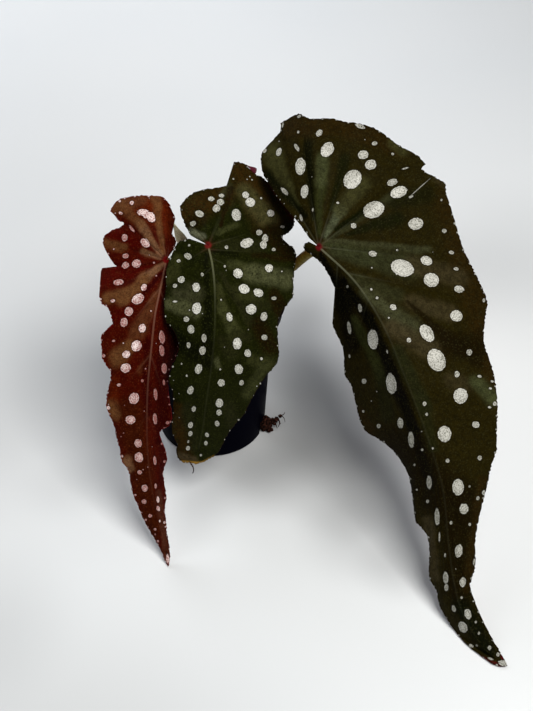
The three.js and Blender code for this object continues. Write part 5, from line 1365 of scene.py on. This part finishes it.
def make_floor():
    """A pale seamless floor that turns up far behind the object, with soft shadows painted into its colour
    round the plant.
    """
    sideways = np.linspace(-FLOOR_HALF_WIDTH, FLOOR_HALF_WIDTH, 9)
    x, s = np.meshgrid(sideways, np.linspace(0, 1, 60), indexing="ij")
    y = FLOOR_FRONT + FLOOR_LENGTH * s
    z = FLOOR_RISE * (np.maximum(y - FLOOR_BEND, 0) / 1000) ** 2
    number = np.arange(x.size).reshape(x.shape)
    faces = facets(number[:-1, :-1], number[1:, :-1], number[1:, 1:], number[:-1, 1:])
    finish = Finish("floor_paper", roughness=0.75, Specular_IOR_Level=0.15)
    grain = finish.noise(400, 2)
    paper = finish.mix(grain.step(0.3, 0.7), "e8eaea", "e4e7e8")
    across, deep, _ = finish.parts(finish.place())
    # Painted shadow: inside each soft oval the paper is mixed towards a dark colour
    shade = 0
    for middle_x, middle_y, wide, long, strength in FLOOR_PAINTED_SHADOWS:
        right = (across - middle_x * MM) * (1 / (wide * MM))
        back = (deep - middle_y * MM) * (1 / (long * MM))
        shade = strength * (1 - ((right * right + back * back) ** 0.5).step(0, 1)) + shade
    finish.feed(Base_Color=finish.mix(shade, paper, "0c090c"))
    points = np.stack([x, y, z], -1).reshape(-1, 3)
    floor = in_scene("floor", smooth_mesh("floor", points, faces, [finish.material]))


def make_light(name, place, aim, size, watts, tint):
    """A soft square light at `place` that looks at `aim`, both in millimetres."""
    data = bpy.data.lights.new(name, "AREA")
    data.shape = "SQUARE"
    data.size = size * MM
    data.energy = watts
    data.color = colour(tint)[:3]
    lamp = in_scene(name, data)
    to_aim = unit(np.array(aim, float) - np.array(place, float))
    lamp.location = [c * MM for c in place]
    yaw = math.atan2(to_aim[1], to_aim[0]) - math.pi / 2
    pitch = math.asin(to_aim[2]) + math.pi / 2
    lamp.rotation_euler = (pitch, 0, yaw)
    return data


def make_lights():
    """Three soft lights round the object, one at the back for the paper behind it, and a faint world."""
    make_light("key", (300, -550, 900), (60, -80, 0), 500, 11.6, "fffdfa")
    make_light("fill", (-800, -100, 1100), (30, -80, 0), 700, 2.2, "f8faff")
    make_light("rim", (-700, 700, 900), (30, -80, 0), 600, 5.8, "f8faff")
    make_light("backdrop", (-50, 800, 700), (-50, 720, 0), 700, 1.2, "f8faff").spread = math.radians(110)
    world = bpy.data.worlds.new("studio")
    bpy.context.scene.world = world
    world.use_nodes = True
    background = world.node_tree.nodes["Background"]
    background.inputs["Color"].default_value = colour("f0f4f6")
    background.inputs["Strength"].default_value = 0.05


def make_camera():
    """The camera, which looks along +Y and down."""
    data = bpy.data.cameras.new("camera")
    data.sensor_fit = "VERTICAL"
    data.sensor_height = SENSOR_HEIGHT
    data.lens = SENSOR_HEIGHT * FOCAL_PIXELS / PICTURE_HEIGHT_PIXELS
    camera = in_scene("camera", data)
    camera.location = (EYE * MM).tolist()
    camera.rotation_euler = (math.radians(90 - LOOK_DOWN), 0, 0)
    bpy.context.scene.camera = camera


make_camera()
make_floor()
make_lights()
bpy.context.scene.view_settings.view_transform = "Standard"

maroon = under_finish("leaf_under", "4d1220", "7a2c34")
red_under = under_finish("leaf_under_red", "6a1220", "90303a")
stalk = stalk_finish()
right_blade = Blade(RIGHT_LEAF, 1)
middle_blade = Blade(MIDDLE_LEAF, 2)
left_blade = Blade(LEFT_LEAF, 3)
for name, blade, slot, tones, under in (
    ("leaf_right", right_blade, "leaf_dark", DARK_TONES, maroon),
    ("leaf_middle", middle_blade, "leaf_green", GREEN_TONES, maroon),
    ("leaf_left", left_blade, "leaf_red", RED_TONES, red_under),
):
    blade.mesh(name, [leaf_finish(slot, tones), under], tones["ground"])

turn_edge("leaf_middle_fold", middle_blade, (10.95, 12.2), (2.1, -1.8), "leaf_middle", maroon)
turn_edge("leaf_left_fold", left_blade, (14, 16), (-1, 1.2), "leaf_left", red_under)
make_stem((right_blade, middle_blade, left_blade), stalk)
make_stipule(paper_finish())
roots_material = root_finish()
make_roots(roots_material)
make_thread(middle_blade, roots_material)

pot = piece("pot_detail", *welded(*pot_shape()), [pot_finish()], crease=POT_CREASE)
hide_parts("pot")
soil = piece("soil_detail", *soil_shape(), [soil_finish()], crease=SOIL_CREASE)
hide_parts("soil")
